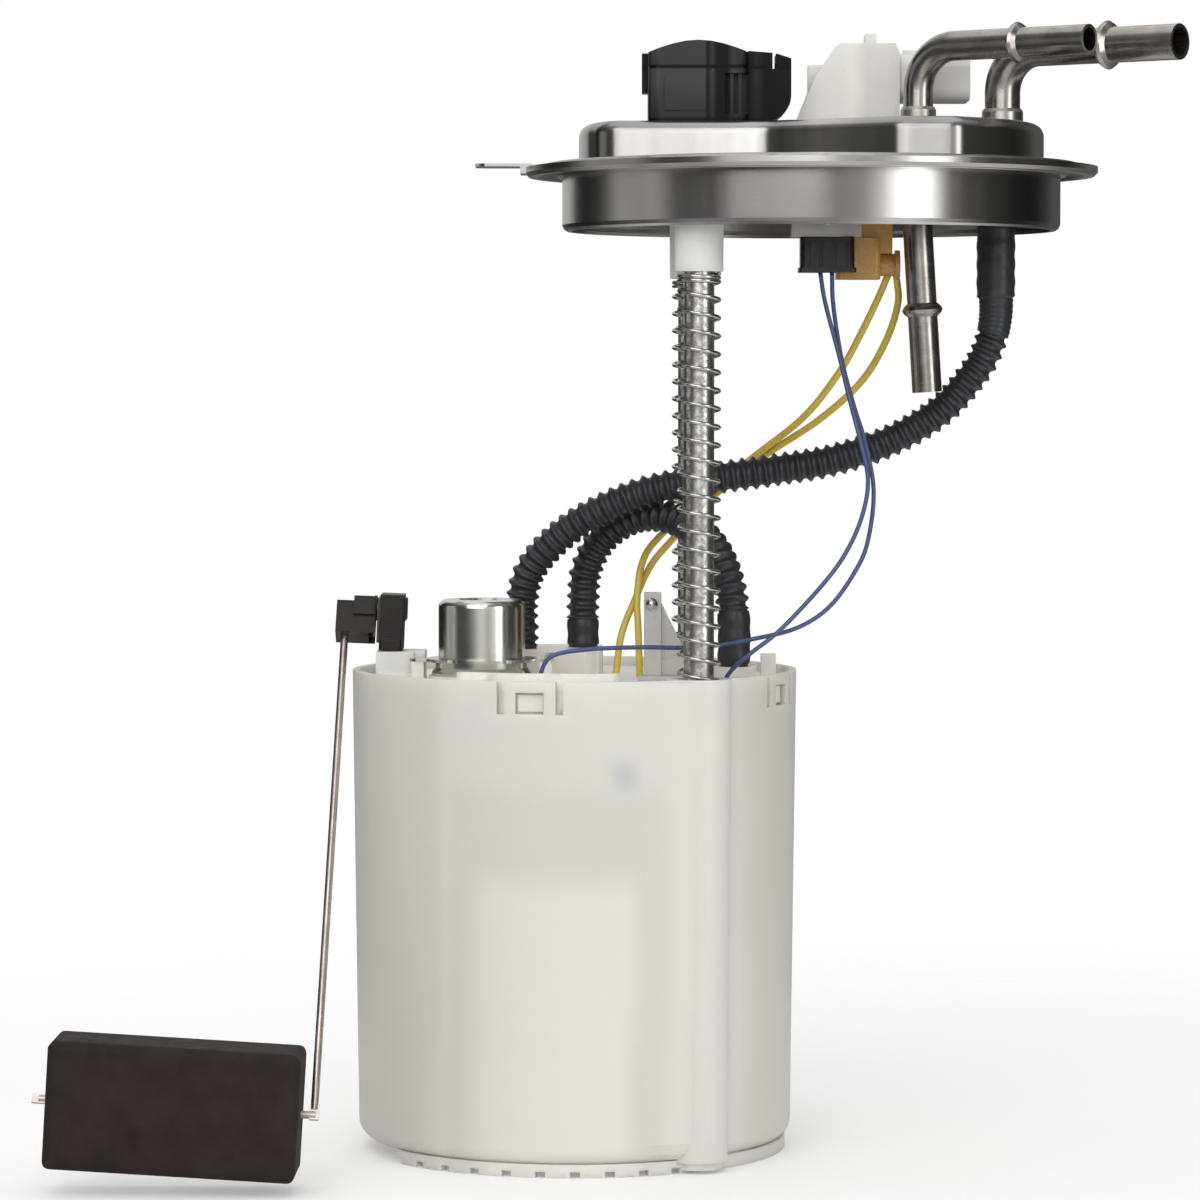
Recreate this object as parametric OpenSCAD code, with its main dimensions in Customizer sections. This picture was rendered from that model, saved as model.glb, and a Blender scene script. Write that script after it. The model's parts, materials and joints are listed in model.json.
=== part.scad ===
// In-tank electric fuel pump module: a flange that closes the tank opening, two sprung guide rods,
// and a reservoir that holds the pump, the pressure regulator, the jet pump and the level sender.
// Millimetres. The origin is the flange axis at the underside of the brim, +Z up, -Y to the front.

/* [Flange] */
// Outer radius of the drawn collar that enters the tank opening
collar_r = 67; // [66:0.5:68]
// Height of the collar below the brim
collar_h = 14.5; // [12:0.5:18]
// Outer radius of the brim
brim_r = 77; // [76:0.5:80]
// Sheet thickness of the flange plate
plate_t = 1.5; // [1.2:0.1:1.8]
// Sheet thickness of the collar
collar_t = 1.2; // [1:0.1:1.5]
// Height of the deck's top face above the brim's underside
deck_h = 14; // [12:0.5:17]
// Radius of the round part of the deck
deck_r = 62.5; // [61.5:0.5:63.5]

/* [Fuel lines] */
// Outer diameter of the supply line
supply_d = 9.52; // [9:0.02:10]
// Outer diameter of the return line
return_d = 7.94; // [7.5:0.02:8.5]
// Wall of both lines
line_wall = 0.9; // [0.7:0.1:1.2]
// Height of the horizontal lines' axis above the brim's underside
line_z = 34; // [32:0.5:38]
// Centreline radius of the bends
bend_r = 11.5; // [10:0.5:12]
// Angle by which the lines point towards the front
line_angle = 38; // [30:1:45]

/* [Guide rods] */
// Diameter of the guide rods
rod_d = 8; // [7.5:0.1:8.5]
// Distance of the guide rods' axes inside the collar's wall
rod_inset = 22; // [21:0.5:23]
// Wire diameter of the guide springs
spring_wire = 1; // [0.8:0.1:1.2]
// Outer diameter of the guide springs
spring_d = 11.6; // [11.2:0.1:12]
// Running clearance between rod and bushing, on the radius
rod_clear = 0.08; // [0.04:0.01:0.1]
// Height of the rod bosses below the brim
boss_h = 26.3; // [24:0.1:30]
// Outer diameter of the rod bosses
boss_d = 13; // [12.5:0.1:14]

/* [Reservoir] */
// Outer radius of the reservoir at its rim
cup_r = 60; // [59.5:0.1:60.5]
// Outer radius of the reservoir at its foot
cup_foot_r = 58.5; // [58:0.1:59]
// Height of the reservoir from the floor to the rim
cup_h = 129.5; // [129:0.5:134]
// Wall of the reservoir
cup_wall = 2; // [1.6:0.1:2.2]
// Thickness of the reservoir floor
cup_base = 2.4; // [2:0.1:3]
// Height of the castellated foot ring
foot_h = 3; // [2.5:0.1:3.5]
// Outer radius of the pockets that guide the rods
pocket_r = 8.5; // [8.3:0.1:9]
// Inner radius of the pockets
pocket_bore = 6.6; // [6.5:0.1:6.8]
// Depth of the spring seat below the rim
seat_depth = 8; // [7:0.5:12]

/* [Pump] */
// Outer radius of the pump's steel can
can_r = 19; // [18.6:0.1:19.2]
// Wall of the steel can
can_wall = 0.8; // [0.6:0.1:1]
// Length of the steel can
can_len = 66; // [64:1:68]
// Outer radius of the white pump holder
holder_r = 22.5; // [22:0.1:24]
// Radius of the armature core
core_r = 13.6; // [13:0.1:14]
// Diameter of the armature shaft
shaft_d = 4; // [3.6:0.1:4.2]
// Running clearance of the shafts and pins, on the radius
pin_clear = 0.05; // [0.03:0.01:0.08]

/* [Regulator] */
// Outer radius of the regulator can
reg_r = 11.5; // [11:0.1:12]
// Height of the regulator can
reg_h = 16.5; // [15:0.5:18]

/* [Level sender] */
// Length of the float arm from its pivot to the float pin
arm_len = 145; // [135:1:146]
// Diameter of the arm wire
arm_d = 2; // [1.8:0.1:2.2]
// Angle of the arm from the vertical at rest
arm_lean = 29; // [28:1:40]
// Tilt of the sender about the front to back direction
sender_tilt = 2.2; // [1:0.1:4]
// Further tilt of the float pin on the arm
pin_tilt = 1.4; // [0:0.1:3]
// Length of the float along its pin
float_len = 64.5; // [60:0.5:68]
// Height of the float
float_h = 33; // [30:0.5:34]
// Depth of the float
float_w = 23; // [20:0.5:26]

/* [Hoses] */
// Outer diameter of the corrugated hoses
hose_d = 9.2; // [8.6:0.1:9.4]
// Outer diameter of the plain sleeve on the supply hose
sleeve_d = 10.3; // [10:0.1:10.6]

/* [Hidden] */
eps = 0.01;
rod_x = -31;
rod_y = collar_r - rod_inset;
rod_r = rod_d / 2;
cup_x = -63.7;
rim_z = -132.5;
floor_z = rim_z - cup_h;
cup_low_z = floor_z + foot_h;
cup_in_z = cup_low_z + cup_base;
seat_z = rim_z - seat_depth;
boss_z = -boss_h;
bushing_len = 14;
bushing_flange = 2.6;
bushing_z = seat_z - bushing_len;
clip_t = 0.9;
clip_gap = 0.3;
clip_z = bushing_z - clip_gap - clip_t;
rod_low_z = clip_z - 3;
deck_edge_r = 3.5;
front_wall_y = -28;
supply_x = 51.4;
supply_y = -2;
return_x = 28.1;
return_y = -12;
supply_low_z = -12.5;
hose_foot_z = -127.5;
jet_foot_z = -131;
cover_z = rim_z - 2.5;
cover_t = 2.5;
cover_r = cup_r - cup_wall - 0.3;
reg_x = -88.3;
reg_y = -20;
reg_z = -129.3;
pump_x = -68.8;
pump_y = -28;
can_z = cup_in_z + 6.6;
can_top_z = can_z + can_len;
can_in = can_r - can_wall;
shaft_r = shaft_d / 2;
outlet_x = 8;
pivot = [-115.4, -8, -115.8];
arm_r = arm_d / 2;
arm_bend = 3;
arm_top_x = -9.6;
supply_route = [
  [49.8, -2, -12.5], [49.8, -2, -29], [49.8, -2, -37], [48.4, -2, -44], [44.4, -2, -52],
  [35, -2, -62.7], [21.5, -2, -70.8], [5.4, -2, -76.2], [-10.9, -2, -78.9], [-29.8, -2, -81.6],
  [-46, -1, -85.2], [-59.5, 1, -91.2], [-69, 4, -98], [-75.8, 7, -106.2], [-78, 8, -114.5],
  [-78, 8, -122], [-78, 8, hose_foot_z]
];
jet_route = [
  [-61.4, 15, hose_foot_z], [-61.4, 15, -115], [-60.3, 14.5, -105.5], [-55.2, 12.5, -96.8],
  [-45.9, 8.5, -91.5], [-35.2, 3, -92.6], [-27, -5, -98.7], [-22.6, -12, -108], [-21, -15, -118.5],
  [-21, -15, jet_foot_z]
];
blue_routes = [
  [[1.7, -20, -26], [3, -20.5, -34], [6.7, -22, -48.2], [9.3, -24, -59.4], [12.1, -26, -70.5],
   [14.1, -27, -80.5], [12.8, -28, -89.5], [9, -29, -98.7], [2.9, -30, -107.5], [-8.8, -32, -120],
   [-17, -33, -126.5], [-22, -32, -131], [-24.5, -31, cover_z]],
  [[4.8, -20, -26], [5.2, -20, -34.9], [7.5, -20, -49.3], [10.7, -21, -61.5], [13.6, -22, -71],
   [15.8, -24, -84], [14.1, -25, -97.7], [10.4, -26, -105.9], [4, -27, -114.5], [-4, -28, -119.8],
   [-14, -29, -122.5], [-30, -30.5, -125], [-46.8, -32, -125], [-60, -33, -125.5], [-69, -34, -127],
   [-72, -34, -130.5], [-72.5, -34, cover_z]]
];
yellow_routes = [
  [[20.7, -8, -27.6], [17.7, -7, -32.8], [13.3, -4, -42.2], [7.8, 0, -52.4], [-1.5, 6, -64.5],
   [-15.1, 12, -75.6], [-29.5, 14, -87.4], [-41.2, 15, -98], [-45.3, 13, -104.5],
   [-46.7, 9, -114], [-46.4, 6.5, -122], [-46, 6, cover_z]],
  [[24, -8, -27.6], [23.6, -6, -34], [20, -2, -44.5], [13.6, 2, -55.2], [2.4, 7, -65.5],
   [-11.8, 13, -75.1], [-25.4, 16, -86], [-36.8, 17.5, -98], [-43, 16, -105.4],
   [-47.5, 12, -115], [-51, 9, -124], [-52.5, 8, cover_z]]
];

// Points of an arc in the plane
function arc(c, r, a0, a1, n) = [for (i = [0:n]) let (a = a0 + (a1 - a0) * i / n) c + r * [cos(a), sin(a)]];
function unit(v) = v / norm(v);
// A corner at b, between a and c, rounded with radius r
function rounded(a, b, c, r, n) =
  let (u = unit(a - b), v = unit(c - b), half = acos(max(-1, min(1, u * v))) / 2)
  let (m = unit(u + v), o = b + m * r / sin(half), s = b + u * r / tan(half), e = b + v * r / tan(half))
  let (a0 = atan2(s[1] - o[1], s[0] - o[0]), raw = atan2(e[1] - o[1], e[0] - o[0]) - a0)
  let (sweep = raw > 180 ? raw - 360 : raw < -180 ? raw + 360 : raw)
  arc(o, r, a0, a0 + sweep, n);
// The closed outline moved inwards by d, counterclockwise outlines only
function inset(p, d) = let (n = len(p)) [for (i = [0:n - 1])
  let (t = unit(p[(i + 1) % n] - p[(i + n - 1) % n])) p[i] + d * [-t[1], t[0]]];
function flat3(p, z) = [for (q = p) [q[0], q[1], z]];

// A solid through stacked closed rings, each with the same number of points
module loft(rings) {
  n = len(rings[0]);
  k = len(rings);
  side = [for (j = [0:k - 2]) for (i = [0:n - 1])
    let (a = j * n + i, b = a + n, c = (j + 1) * n + (i + 1) % n, d = c - n) each [[a, b, c], [a, c, d]]];
  polyhedron([for (r = rings) each r], concat([[for (i = [0:n - 1]) i]], side,
    [[for (i = [n - 1:-1:0]) (k - 1) * n + i]]), convexity = 8);
}

// Frame of a swept tube at one of its points: a ring with a fixed reference direction
function ring(p, t, r, up, sides) =
  let (u = unit(cross(t, up)), v = cross(u, t))
  [for (i = [0:sides - 1]) p + r * (cos(360 * i / sides) * u + sin(360 * i / sides) * v)];
module cord(route, radii, sides, up = [0, 1, 0]) {
  n = len(route);
  tangents = [for (i = [0:n - 1]) unit(route[min(n - 1, i + 1)] - route[max(0, i - 1)])];
  first = route[0][2] < route[1][2] ? [0, 0, 1] : [0, 0, -1];
  dirs = [for (i = [0:n - 1]) i == 0 ? first : i == n - 1 ? [0, 0, -1] : tangents[i]];
  loft([for (i = [0:n - 1]) ring(route[i], dirs[i], radii[i], up, sides)]);
}

// Plan outline of a box with rounded corners
module rounded_square(w, d, r) {
  square([w - 2 * r, d], center = true);
  square([w, d - 2 * r], center = true);
  for (x = [-1, 1]) for (y = [-1, 1]) translate([x * (w / 2 - r), y * (d / 2 - r)]) circle(r, $fn = 32);
}
// Box with all its edges rounded, centred
module soft_box(w, d, h, r) {
  intersection() {
    translate([0, 0, -h / 2]) linear_extrude(h) rounded_square(w, d, r);
    rotate([90, 0, 0]) translate([0, 0, -d / 2]) linear_extrude(d) rounded_square(w, h, r);
    rotate([0, 90, 0]) translate([0, 0, -w / 2]) linear_extrude(w) rounded_square(h, d, r);
  }
}
module tube(ro, ri, h) {
  difference() {
    cylinder(r = ro, h = h, $fn = 64);
    translate([0, 0, -1]) cylinder(r = ri, h = h + 2, $fn = 64);
  }
}
module at_rods() {
  for (s = [-1, 1]) translate([rod_x, s * rod_y, 0]) children();
}

// Outline of the raised deck: round, with a flat front wall and a diagonal wall at the left front
front_left = [-sqrt(deck_r * deck_r - front_wall_y * front_wall_y), front_wall_y];
inner_corner = [-13.7, front_wall_y];
outer_corner = [20.9, -51];
join_x = sqrt(deck_r * deck_r - outer_corner[1] * outer_corner[1]);
front_right = [join_x, outer_corner[1]];
start_angle = atan2(front_right[1], front_right[0]) + 8;
end_angle = 360 + atan2(front_left[1], front_left[0]) - 10;
round_start = deck_r * [cos(start_angle), sin(start_angle)];
round_end = deck_r * [cos(end_angle), sin(end_angle)];
deck_outline = concat(
  arc([0, 0], deck_r, start_angle, end_angle, 44),
  rounded(round_end, front_left, inner_corner, 8, 6),
  rounded(front_left, inner_corner, outer_corner, 10, 5),
  rounded(inner_corner, outer_corner, front_right, 8, 5),
  rounded(outer_corner, front_right, round_start, 7, 4));
// Rings of the deck's rounded skin at inset d, listed from its foot at z0 up to the height h
function deck_skin(d, z0, h, r) = concat([flat3(inset(deck_outline, d), z0)],
  [for (i = [0:5]) let (a = 18 * i) flat3(inset(deck_outline, d + r * (1 - cos(a))), h - r + r * sin(a))]);
function backwards(list) = [for (i = [len(list) - 1:-1:0]) list[i]];

bead_in = 68.5;
bead_out = 73.5;
bead_h = 2;
module brim_profile() {
  polygon(concat([[0, 0], [bead_in, 0]],
    [for (i = [1:7]) [bead_in + (bead_out - bead_in) * i / 8, bead_h * sin(180 * i / 8)]],
    [[bead_out, 0], [brim_r - 1, 0], [brim_r, 1], [brim_r, plate_t + 1], [brim_r - 1, plate_t + 0.6],
     [brim_r - 2, plate_t], [bead_out + 0.4, plate_t]],
    [for (i = [7:-1:1]) [bead_in + (bead_out - bead_in) * i / 8, plate_t + bead_h * sin(180 * i / 8)]],
    [[bead_in - 0.4, plate_t], [0, plate_t]]));
}
tab_w = 14;
tab_out = 13.3;
module brim_plate() {
  color("silver") {
    difference() {
      rotate([0, 0, 100]) rotate_extrude($fn = 120) brim_profile();
      translate([0, 0, -1]) linear_extrude(4) polygon(deck_outline);
    }
    locating_tab();
  }
}
// The deck is drawn up out of the plate, and its foot closes the plate's opening
module deck_pan() {
  color("silver") difference() {
    loft(concat(backwards(deck_skin(0, 0, deck_h, deck_edge_r)),
      deck_skin(plate_t, 0, deck_h - plate_t, deck_edge_r - plate_t)));
    translate([supply_x, supply_y, 1]) cylinder(r = supply_d / 2, h = 30, $fn = 64);
    translate([return_x, return_y, 1]) cylinder(r = return_d / 2, h = 30, $fn = 64);
    translate([sensor_x, sensor_y, 1]) cylinder(r = grommet_r, h = 30, $fn = 64);
    translate([power_x, power_y, 1]) cylinder(r = power_hole_r, h = 30, $fn = 64);
  }
}
module locating_tab() {
  translate([-brim_r - tab_out, -tab_w / 2, plate_t + 1.2]) difference() {
    union() {
      cube([tab_out, tab_w, 0.8]);
      translate([tab_out - 1.2, 0, -1.9]) cube([3.2, tab_w, 2.7]);
    }
    for (y = [-1, 1]) translate([-1, tab_w / 2 + y * (tab_w / 2 + 6), -3]) cylinder(r = 7, h = 6, $fn = 48);
  }
}
module collar_ring() {
  color("silver") rotate_extrude($fn = 120) polygon([
    [collar_r - 3, 0], [collar_r, 0], [collar_r, 1.6 - collar_h], [collar_r - 0.4, 0.6 - collar_h],
    [collar_r - 1.2, -collar_h], [collar_r - 2.6, -collar_h], [collar_r - 2.6, 0.9 - collar_h],
    [collar_r - collar_t - 0.3, 1.2 - collar_h],
    [collar_r - collar_t, 2 - collar_h], [collar_r - collar_t, -1.4], [collar_r - 3, -1.2]]);
}

// A line that rises, bends forward to the right and runs level
module bent_line(ro, ri, z0, reach) {
  difference() {
    bent_rod(ro, z0, reach);
    translate([0, 0, -eps]) bent_rod(ri, z0, reach + 1, eps);
  }
}
module bent_rod(r, z0, reach, more = 0) {
  translate([0, 0, z0]) cylinder(r = r, h = line_z - bend_r - z0 + more, $fn = 64);
  translate([bend_r, 0, line_z - bend_r + more]) rotate([90, 0, 0]) rotate([0, 0, 90])
    rotate_extrude(angle = 90, $fn = 64) translate([bend_r, 0]) circle(r, $fn = 64);
  translate([bend_r, 0, line_z + more]) rotate([0, 90, 0]) cylinder(r = r, h = reach - bend_r, $fn = 64);
}
// A rolled bead round a line, along its own axis
module line_bead(r, rise, w) {
  rotate_extrude($fn = 64) polygon([[r - 0.2, -w / 2], [r, -w / 2], [r + rise * 0.7, -w / 4],
    [r + rise, 0], [r + rise * 0.7, w / 4], [r, w / 2], [r - 0.2, w / 2]]);
}
supply_reach = 55.3;
return_reach = 53.6;
bead_back = 22;
module supply_tube() {
  r = supply_d / 2;
  color("gainsboro") translate([supply_x, supply_y, 0]) rotate([0, 0, -line_angle]) {
    bent_line(r, r - line_wall, supply_low_z, supply_reach);
    translate([supply_reach - bead_back, 0, line_z]) rotate([0, 90, 0]) line_bead(r, 1.7, 3.4);
  }
}
return_tilt = 3.5;
return_low_z = -14;
return_drop = 42;
kink_r = 30;
// The return line runs on below the deck and kinks slightly outwards
module return_drop_rod(r, more = 0) {
  translate([kink_r, 0, return_low_z]) rotate([90, 0, 0]) rotate([0, 0, 180])
    rotate_extrude(angle = return_tilt, $fn = 64) translate([kink_r, 0]) circle(r, $fn = 64);
  translate([kink_r * (1 - cos(return_tilt)), 0, return_low_z - kink_r * sin(return_tilt)])
    rotate([0, -return_tilt, 0]) translate([0, 0, -return_drop - more])
      cylinder(r = r, h = return_drop + more, $fn = 64);
}
module return_tube() {
  r = return_d / 2;
  bead_up = 22;
  color("gainsboro") translate([return_x, return_y, 0]) {
    difference() {
      union() {
        rotate([0, 0, -line_angle]) bent_rod(r, return_low_z, return_reach);
        return_drop_rod(r);
      }
      rotate([0, 0, -line_angle]) bent_rod(r - line_wall, return_low_z, return_reach + 1);
      return_drop_rod(r - line_wall, 1);
    }
    rotate([0, 0, -line_angle]) translate([return_reach - bead_back, 0, line_z]) rotate([0, 90, 0])
      line_bead(r, 1.5, 3.2);
    translate([kink_r * (1 - cos(return_tilt)), 0, return_low_z - kink_r * sin(return_tilt)])
      rotate([0, -return_tilt, 0]) translate([0, 0, bead_up - return_drop]) line_bead(r, 1.5, 3.6);
  }
}
module ferrule(r_in, rise) {
  rotate_extrude($fn = 64) polygon([[r_in, 0], [r_in + rise + 1.2, 0], [r_in + rise, 0.8],
    [r_in + rise, 3.4], [r_in + rise - 0.5, 4.3], [r_in, 4.3]]);
}
module tube_ferrules() {
  color("silver") {
    translate([supply_x, supply_y, deck_h]) ferrule(supply_d / 2, 0.8);
    translate([return_x, return_y, deck_h]) ferrule(return_d / 2, 0.8);
  }
}

module guide_rod() {
  translate([0, 0, rod_low_z]) cylinder(r = rod_r, h = -0.5 - rod_low_z, $fn = 64);
}
module grooved_rod() {
  difference() {
    guide_rod();
    translate([0, 0, clip_z]) tube(rod_r + 1, rod_r - 0.7, clip_t);
  }
}
module guide_rod_front() {
  color("darkgray") translate([rod_x, -rod_y, 0]) grooved_rod();
}
module guide_rod_rear() {
  color("darkgray") translate([rod_x, rod_y, 0]) grooved_rod();
}
module rod_bosses() {
  r = boss_d / 2;
  color("ghostwhite") at_rods() difference() {
    union() {
      rotate_extrude($fn = 64) polygon([[0, boss_z], [r - 0.3, boss_z], [r - 0.2, boss_z + 0.2], [r, -2.5],
        [r + 2.5, -1.2], [r + 2.5, 0], [0, 0]]);
    }
    translate([0, 0, boss_z - 1]) cylinder(r = rod_r, h = boss_h + 0.5, $fn = 64);
  }
}
module rod_clips() {
  color("dimgray") at_rods() translate([0, 0, clip_z]) difference() {
    cylinder(r = rod_r + 1.8, h = clip_t, $fn = 64);
    translate([0, 0, -1]) cylinder(r = rod_r - 0.7, h = clip_t + 2, $fn = 64);
    translate([0, -1.6, -1]) cube([10, 3.2, clip_t + 2]);
  }
}
module guide_bushings() {
  color("ivory") at_rods() difference() {
    union() {
      translate([0, 0, bushing_z]) cylinder(r = 4.95, h = bushing_len, $fn = 64);
      translate([0, 0, seat_z - bushing_flange])
        cylinder(r = pocket_bore - 0.05, h = bushing_flange, $fn = 64);
    }
    translate([0, 0, bushing_z - 1]) cylinder(r = rod_r + rod_clear, h = bushing_len + 2, $fn = 64);
  }
}
spring_turns = 27;
dead_turns = 2;
module guide_spring() {
  steps = 10;
  sides = 6;
  w = spring_wire / 2;
  coil_r = spring_d / 2 - w;
  z0 = boss_z - w;
  z1 = seat_z + w;
  n = spring_turns * steps;
  tight = dead_turns * steps;
  dead = dead_turns * spring_wire * 1.05;
  function height(i) = i < tight ? dead * i / tight
    : i > n - tight ? z0 - z1 - dead * (n - i) / tight
    : dead + (z0 - z1 - 2 * dead) * (i - tight) / (n - 2 * tight);
  loft([for (i = [0:n]) let (a = 360 * i / steps, z = z0 - height(i))
    [for (k = [0:sides - 1]) let (b = -360 * k / sides)
      [(coil_r + w * cos(b)) * cos(a), (coil_r + w * cos(b)) * sin(a), z + w * sin(b)]]]);
}
module spring_front() {
  color("silver") translate([rod_x, -rod_y, 0]) guide_spring();
}
module spring_rear() {
  color("silver") translate([rod_x, rod_y, 0]) guide_spring();
}

sensor_x = -30.7;
sensor_y = -8;
sensor_w = 26.6;
sensor_d = 24;
sensor_h = 14.8;
sensor_wall = 1.8;
grommet_r = 5;
plug_w = 12;
plug_d = 15;
// Body of the tank pressure sensor, with the open shroud of its connector on the right
module sensor_body() {
  color("darkslategray") translate([sensor_x, sensor_y, deck_h]) {
    difference() {
      union() {
        translate([0, 0, sensor_h / 2]) linear_extrude(sensor_h, center = true)
          rounded_square(sensor_w, sensor_d, 3);
        translate([0, 0, -6]) cylinder(r = grommet_r - 0.1, h = 7, $fn = 48);
      }
      translate([0, 0, -7]) cylinder(r = 1.6, h = 20, $fn = 32);
      for (y = [-1, 1]) translate([sensor_w / 2 - 6.2, y * sensor_d / 2 - 3, 2]) cube([8, 6, sensor_h - 4]);
    }
    translate([-9, -sensor_d / 2 - 0.4, 3]) cube([11, 1, sensor_h - 6]);
    for (x = [8.4, 10.6]) translate([x, -sensor_d / 2 + 1, 2]) cube([0.9, 3, sensor_h - 3]);
    translate([-sensor_w / 2 - 1.6, -4, 8]) cube([1.8, 8, 6]);
    translate([-sensor_w / 2 - 1.6, -4, 8]) cube([1.6, 8, 10.5]);
    sensor_shroud();
  }
}
module sensor_shroud() {
  x0 = sensor_w / 2 - 0.5;
  difference() {
    translate([x0, plug_d / 2, 0]) rotate([90, 0, 0]) linear_extrude(plug_d) shroud_outline();
    translate([x0 + 3, 0, 9.5]) rotate([0, 90, 0]) linear_extrude(20)
      rounded_square(13, plug_d - 2 * sensor_wall, 2);
    translate([x0 + 7, -plug_d, 14.2]) cube([1, 2 * plug_d, 8]);
    translate([x0 - 1, -plug_d, sensor_h]) cube([1.5, 2 * plug_d, 20]);
  }
  for (y = [-5, 5]) translate([x0 + 1, y, 4]) cube([3.5, 0.9, 13]);
}
module shroud_outline() {
  polygon(concat([[0, 19], [0, 0.6]], arc([plug_w - 7, 7.2], 7, -90, 0, 8),
    [[plug_w, 17], [plug_w - 4.4, 18.4]]));
}
module sensor_cap() {
  color("darkslategray") translate([sensor_x, sensor_y, deck_h + sensor_h]) difference() {
    translate([0, sensor_d / 2, 0]) rotate([90, 0, 0]) linear_extrude(sensor_d) cap_outline();
    difference() {
      translate([0, 0, -1]) linear_extrude(12) square([60, 60], center = true);
      translate([0, 0, -2]) linear_extrude(14) rounded_square(sensor_w, sensor_d, 3);
    }
  }
}
module cap_outline() {
  w = sensor_w / 2;
  polygon(concat([[-w, 0], [w, 0], [w, 3.6]],
    [for (i = [1:7]) [w - 2 * w * i / 8, 3.6 + 3.2 * sin(180 * i / 8)]],
    [[-w, 3.6]]));
}
module sensor_terminals() {
  color("gold") translate([sensor_x + sensor_w / 2 + 2.5, sensor_y, deck_h + 9.5])
    for (y = [-3.4, 0, 3.4]) translate([0, y - 0.3, -0.7]) cube([7, 0.6, 1.4]);
}

power_x = 10.6;
power_y = 7;
power_w = 24;
power_d = 24;
power_hole_r = 9;
power_wall = 1.8;
socket_z = 12.8;
module power_connector() {
  color("ghostwhite") translate([power_x, power_y, deck_h]) {
    difference() {
      union() {
        translate([0, power_d / 2, 0]) rotate([90, 0, 0]) linear_extrude(power_d) power_outline();
        translate([0, 0, -deck_h - 6]) cylinder(r = power_hole_r - 0.1, h = deck_h + 7, $fn = 64);
        translate([power_w / 2 - 1, 0, socket_z]) rotate([0, 90, 0]) linear_extrude(21)
          rounded_square(12.5, 22, 3.5);
      }
      translate([power_w / 2 + 3, 0, socket_z]) rotate([0, 90, 0]) linear_extrude(20)
        rounded_square(12.5 - 2 * power_wall, 22 - 2 * power_wall, 2.2);
      translate([0, 0, -deck_h - 7]) cylinder(r = power_hole_r - 2, h = deck_h, $fn = 64);
    }
    translate([power_w / 2 - 7.8, -5, 21]) cube([3, 10, 3.7]);
    for (y = [-7, 7]) translate([power_w / 2 + 2, y - 0.6, 18.5]) cube([17, 1.2, 1.6]);
    translate([-power_w / 2 + 0.5, -10, 6.5]) cube([4, 6, 9.5]);
  }
}
module power_outline() {
  w = power_w / 2;
  polygon([[-w - 4, 0], [w + 1, 0], [w + 1, 19], [w, 21.7], [-3, 21.7], [-4.5, 20.5], [-w + 2, 12], [-w, 7],
    [-w - 2, 2]]);
}
module power_terminals() {
  color("silver") translate([power_x + power_w / 2 + 3, power_y, deck_h + socket_z])
    for (y = [-6.6, -2.2, 2.2, 6.6]) translate([0, y - 0.4, -1.4]) cube([12, 0.8, 2.8]);
}
// Under the flange the two plugs hang from a common base on the connector's stem
base_top_z = -6.1;
module connector_base() {
  color("lightgray") difference() {
    union() {
      translate([power_x, power_y - 10, base_top_z - 4]) linear_extrude(4) rounded_square(26, 42, 3);
      translate([-6, -24, -16.6]) cube([18.4, 9, 3.4]);
      translate([-4, -23, -14]) cube([14.4, 7, 4.5]);
    }
    for (x = [-2, 10]) translate([power_x + x, -2, base_top_z - 5]) cylinder(r = 2, h = 6, $fn = 32);
  }
}
module sender_plug() {
  color("black") translate([3.45, -20, -26]) {
    difference() {
      translate([0, 0, 4.7]) linear_extrude(9.4, center = true) rounded_square(14.3, 9, 1.2);
      for (x = [-5, -1.75, 1.75, 5]) translate([x - 0.5, -5.2, 1.6]) cube([1, 1.2, 6.4]);
    }
    translate([0, 0, 0.6]) linear_extrude(1.2, center = true) rounded_square(15.2, 10, 1);
  }
}
module pump_plug() {
  color("goldenrod") translate([15, -8, -27.6]) {
    translate([-2.8, 0, 5.5]) linear_extrude(11, center = true) rounded_square(11.8, 11, 1.5);
    translate([3, 0, 3.9]) rotate([0, 90, 0]) cylinder(r = 3, h = 5, $fn = 48);
    translate([7.2, 0, 3.9]) rotate([0, 90, 0]) cylinder(r = 3.9, h = 1.3, $fn = 48);
    translate([0, -3, 6.9]) cube([6.4, 6, 10.6]);
    translate([-6.5, -4, 11]) cube([7, 8, 6.5]);
  }
}

tab_angles = [-101, -23, 23, 101, 180];
window_w = 7.5;
window_h = 5.6;
window_z = -138.1;
module cup_outer() {
  rotate_extrude($fn = 120) polygon(concat([[0, cup_low_z], [cup_foot_r - 5, cup_low_z]],
    [for (i = [1:6]) [cup_foot_r - 5 + 5 * sin(15 * i), cup_low_z + 5 - 5 * cos(15 * i)]],
    [[cup_r, rim_z], [0, rim_z]]));
}
// The flat wall that runs from the round of the cup to a rod pocket. It ends just below the rim and
// lies 0.15 mm inside the round, so that the faces cross instead of touching.
flat_x = norm([rod_x - cup_x, rod_y]);
flat_swing = acos((cup_r - pocket_r) / flat_x);
flat_angle = atan2(-rod_y, rod_x - cup_x) - flat_swing;
flat_len = flat_x * sin(flat_swing);
flat_top_z = rim_z - 0.4;
module pocket_wall() {
  translate([cup_x, 0, 0]) rotate([0, 0, flat_angle]) translate([-0.15, flat_len, 0]) rotate([90, 0, 0])
    linear_extrude(flat_len) polygon([[40, cup_low_z + 1], [cup_foot_r - 2.6, cup_low_z + 1],
      [cup_foot_r - 1, cup_low_z + 2.6], [cup_foot_r, cup_low_z + 5.4],
      [cup_r, flat_top_z], [40, flat_top_z]]);
}
module pocket_outer() {
  translate([0, 0, cup_low_z]) cylinder(r1 = pocket_r - 0.8, r2 = pocket_r, h = rim_z - cup_low_z, $fn = 64);
}
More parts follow.
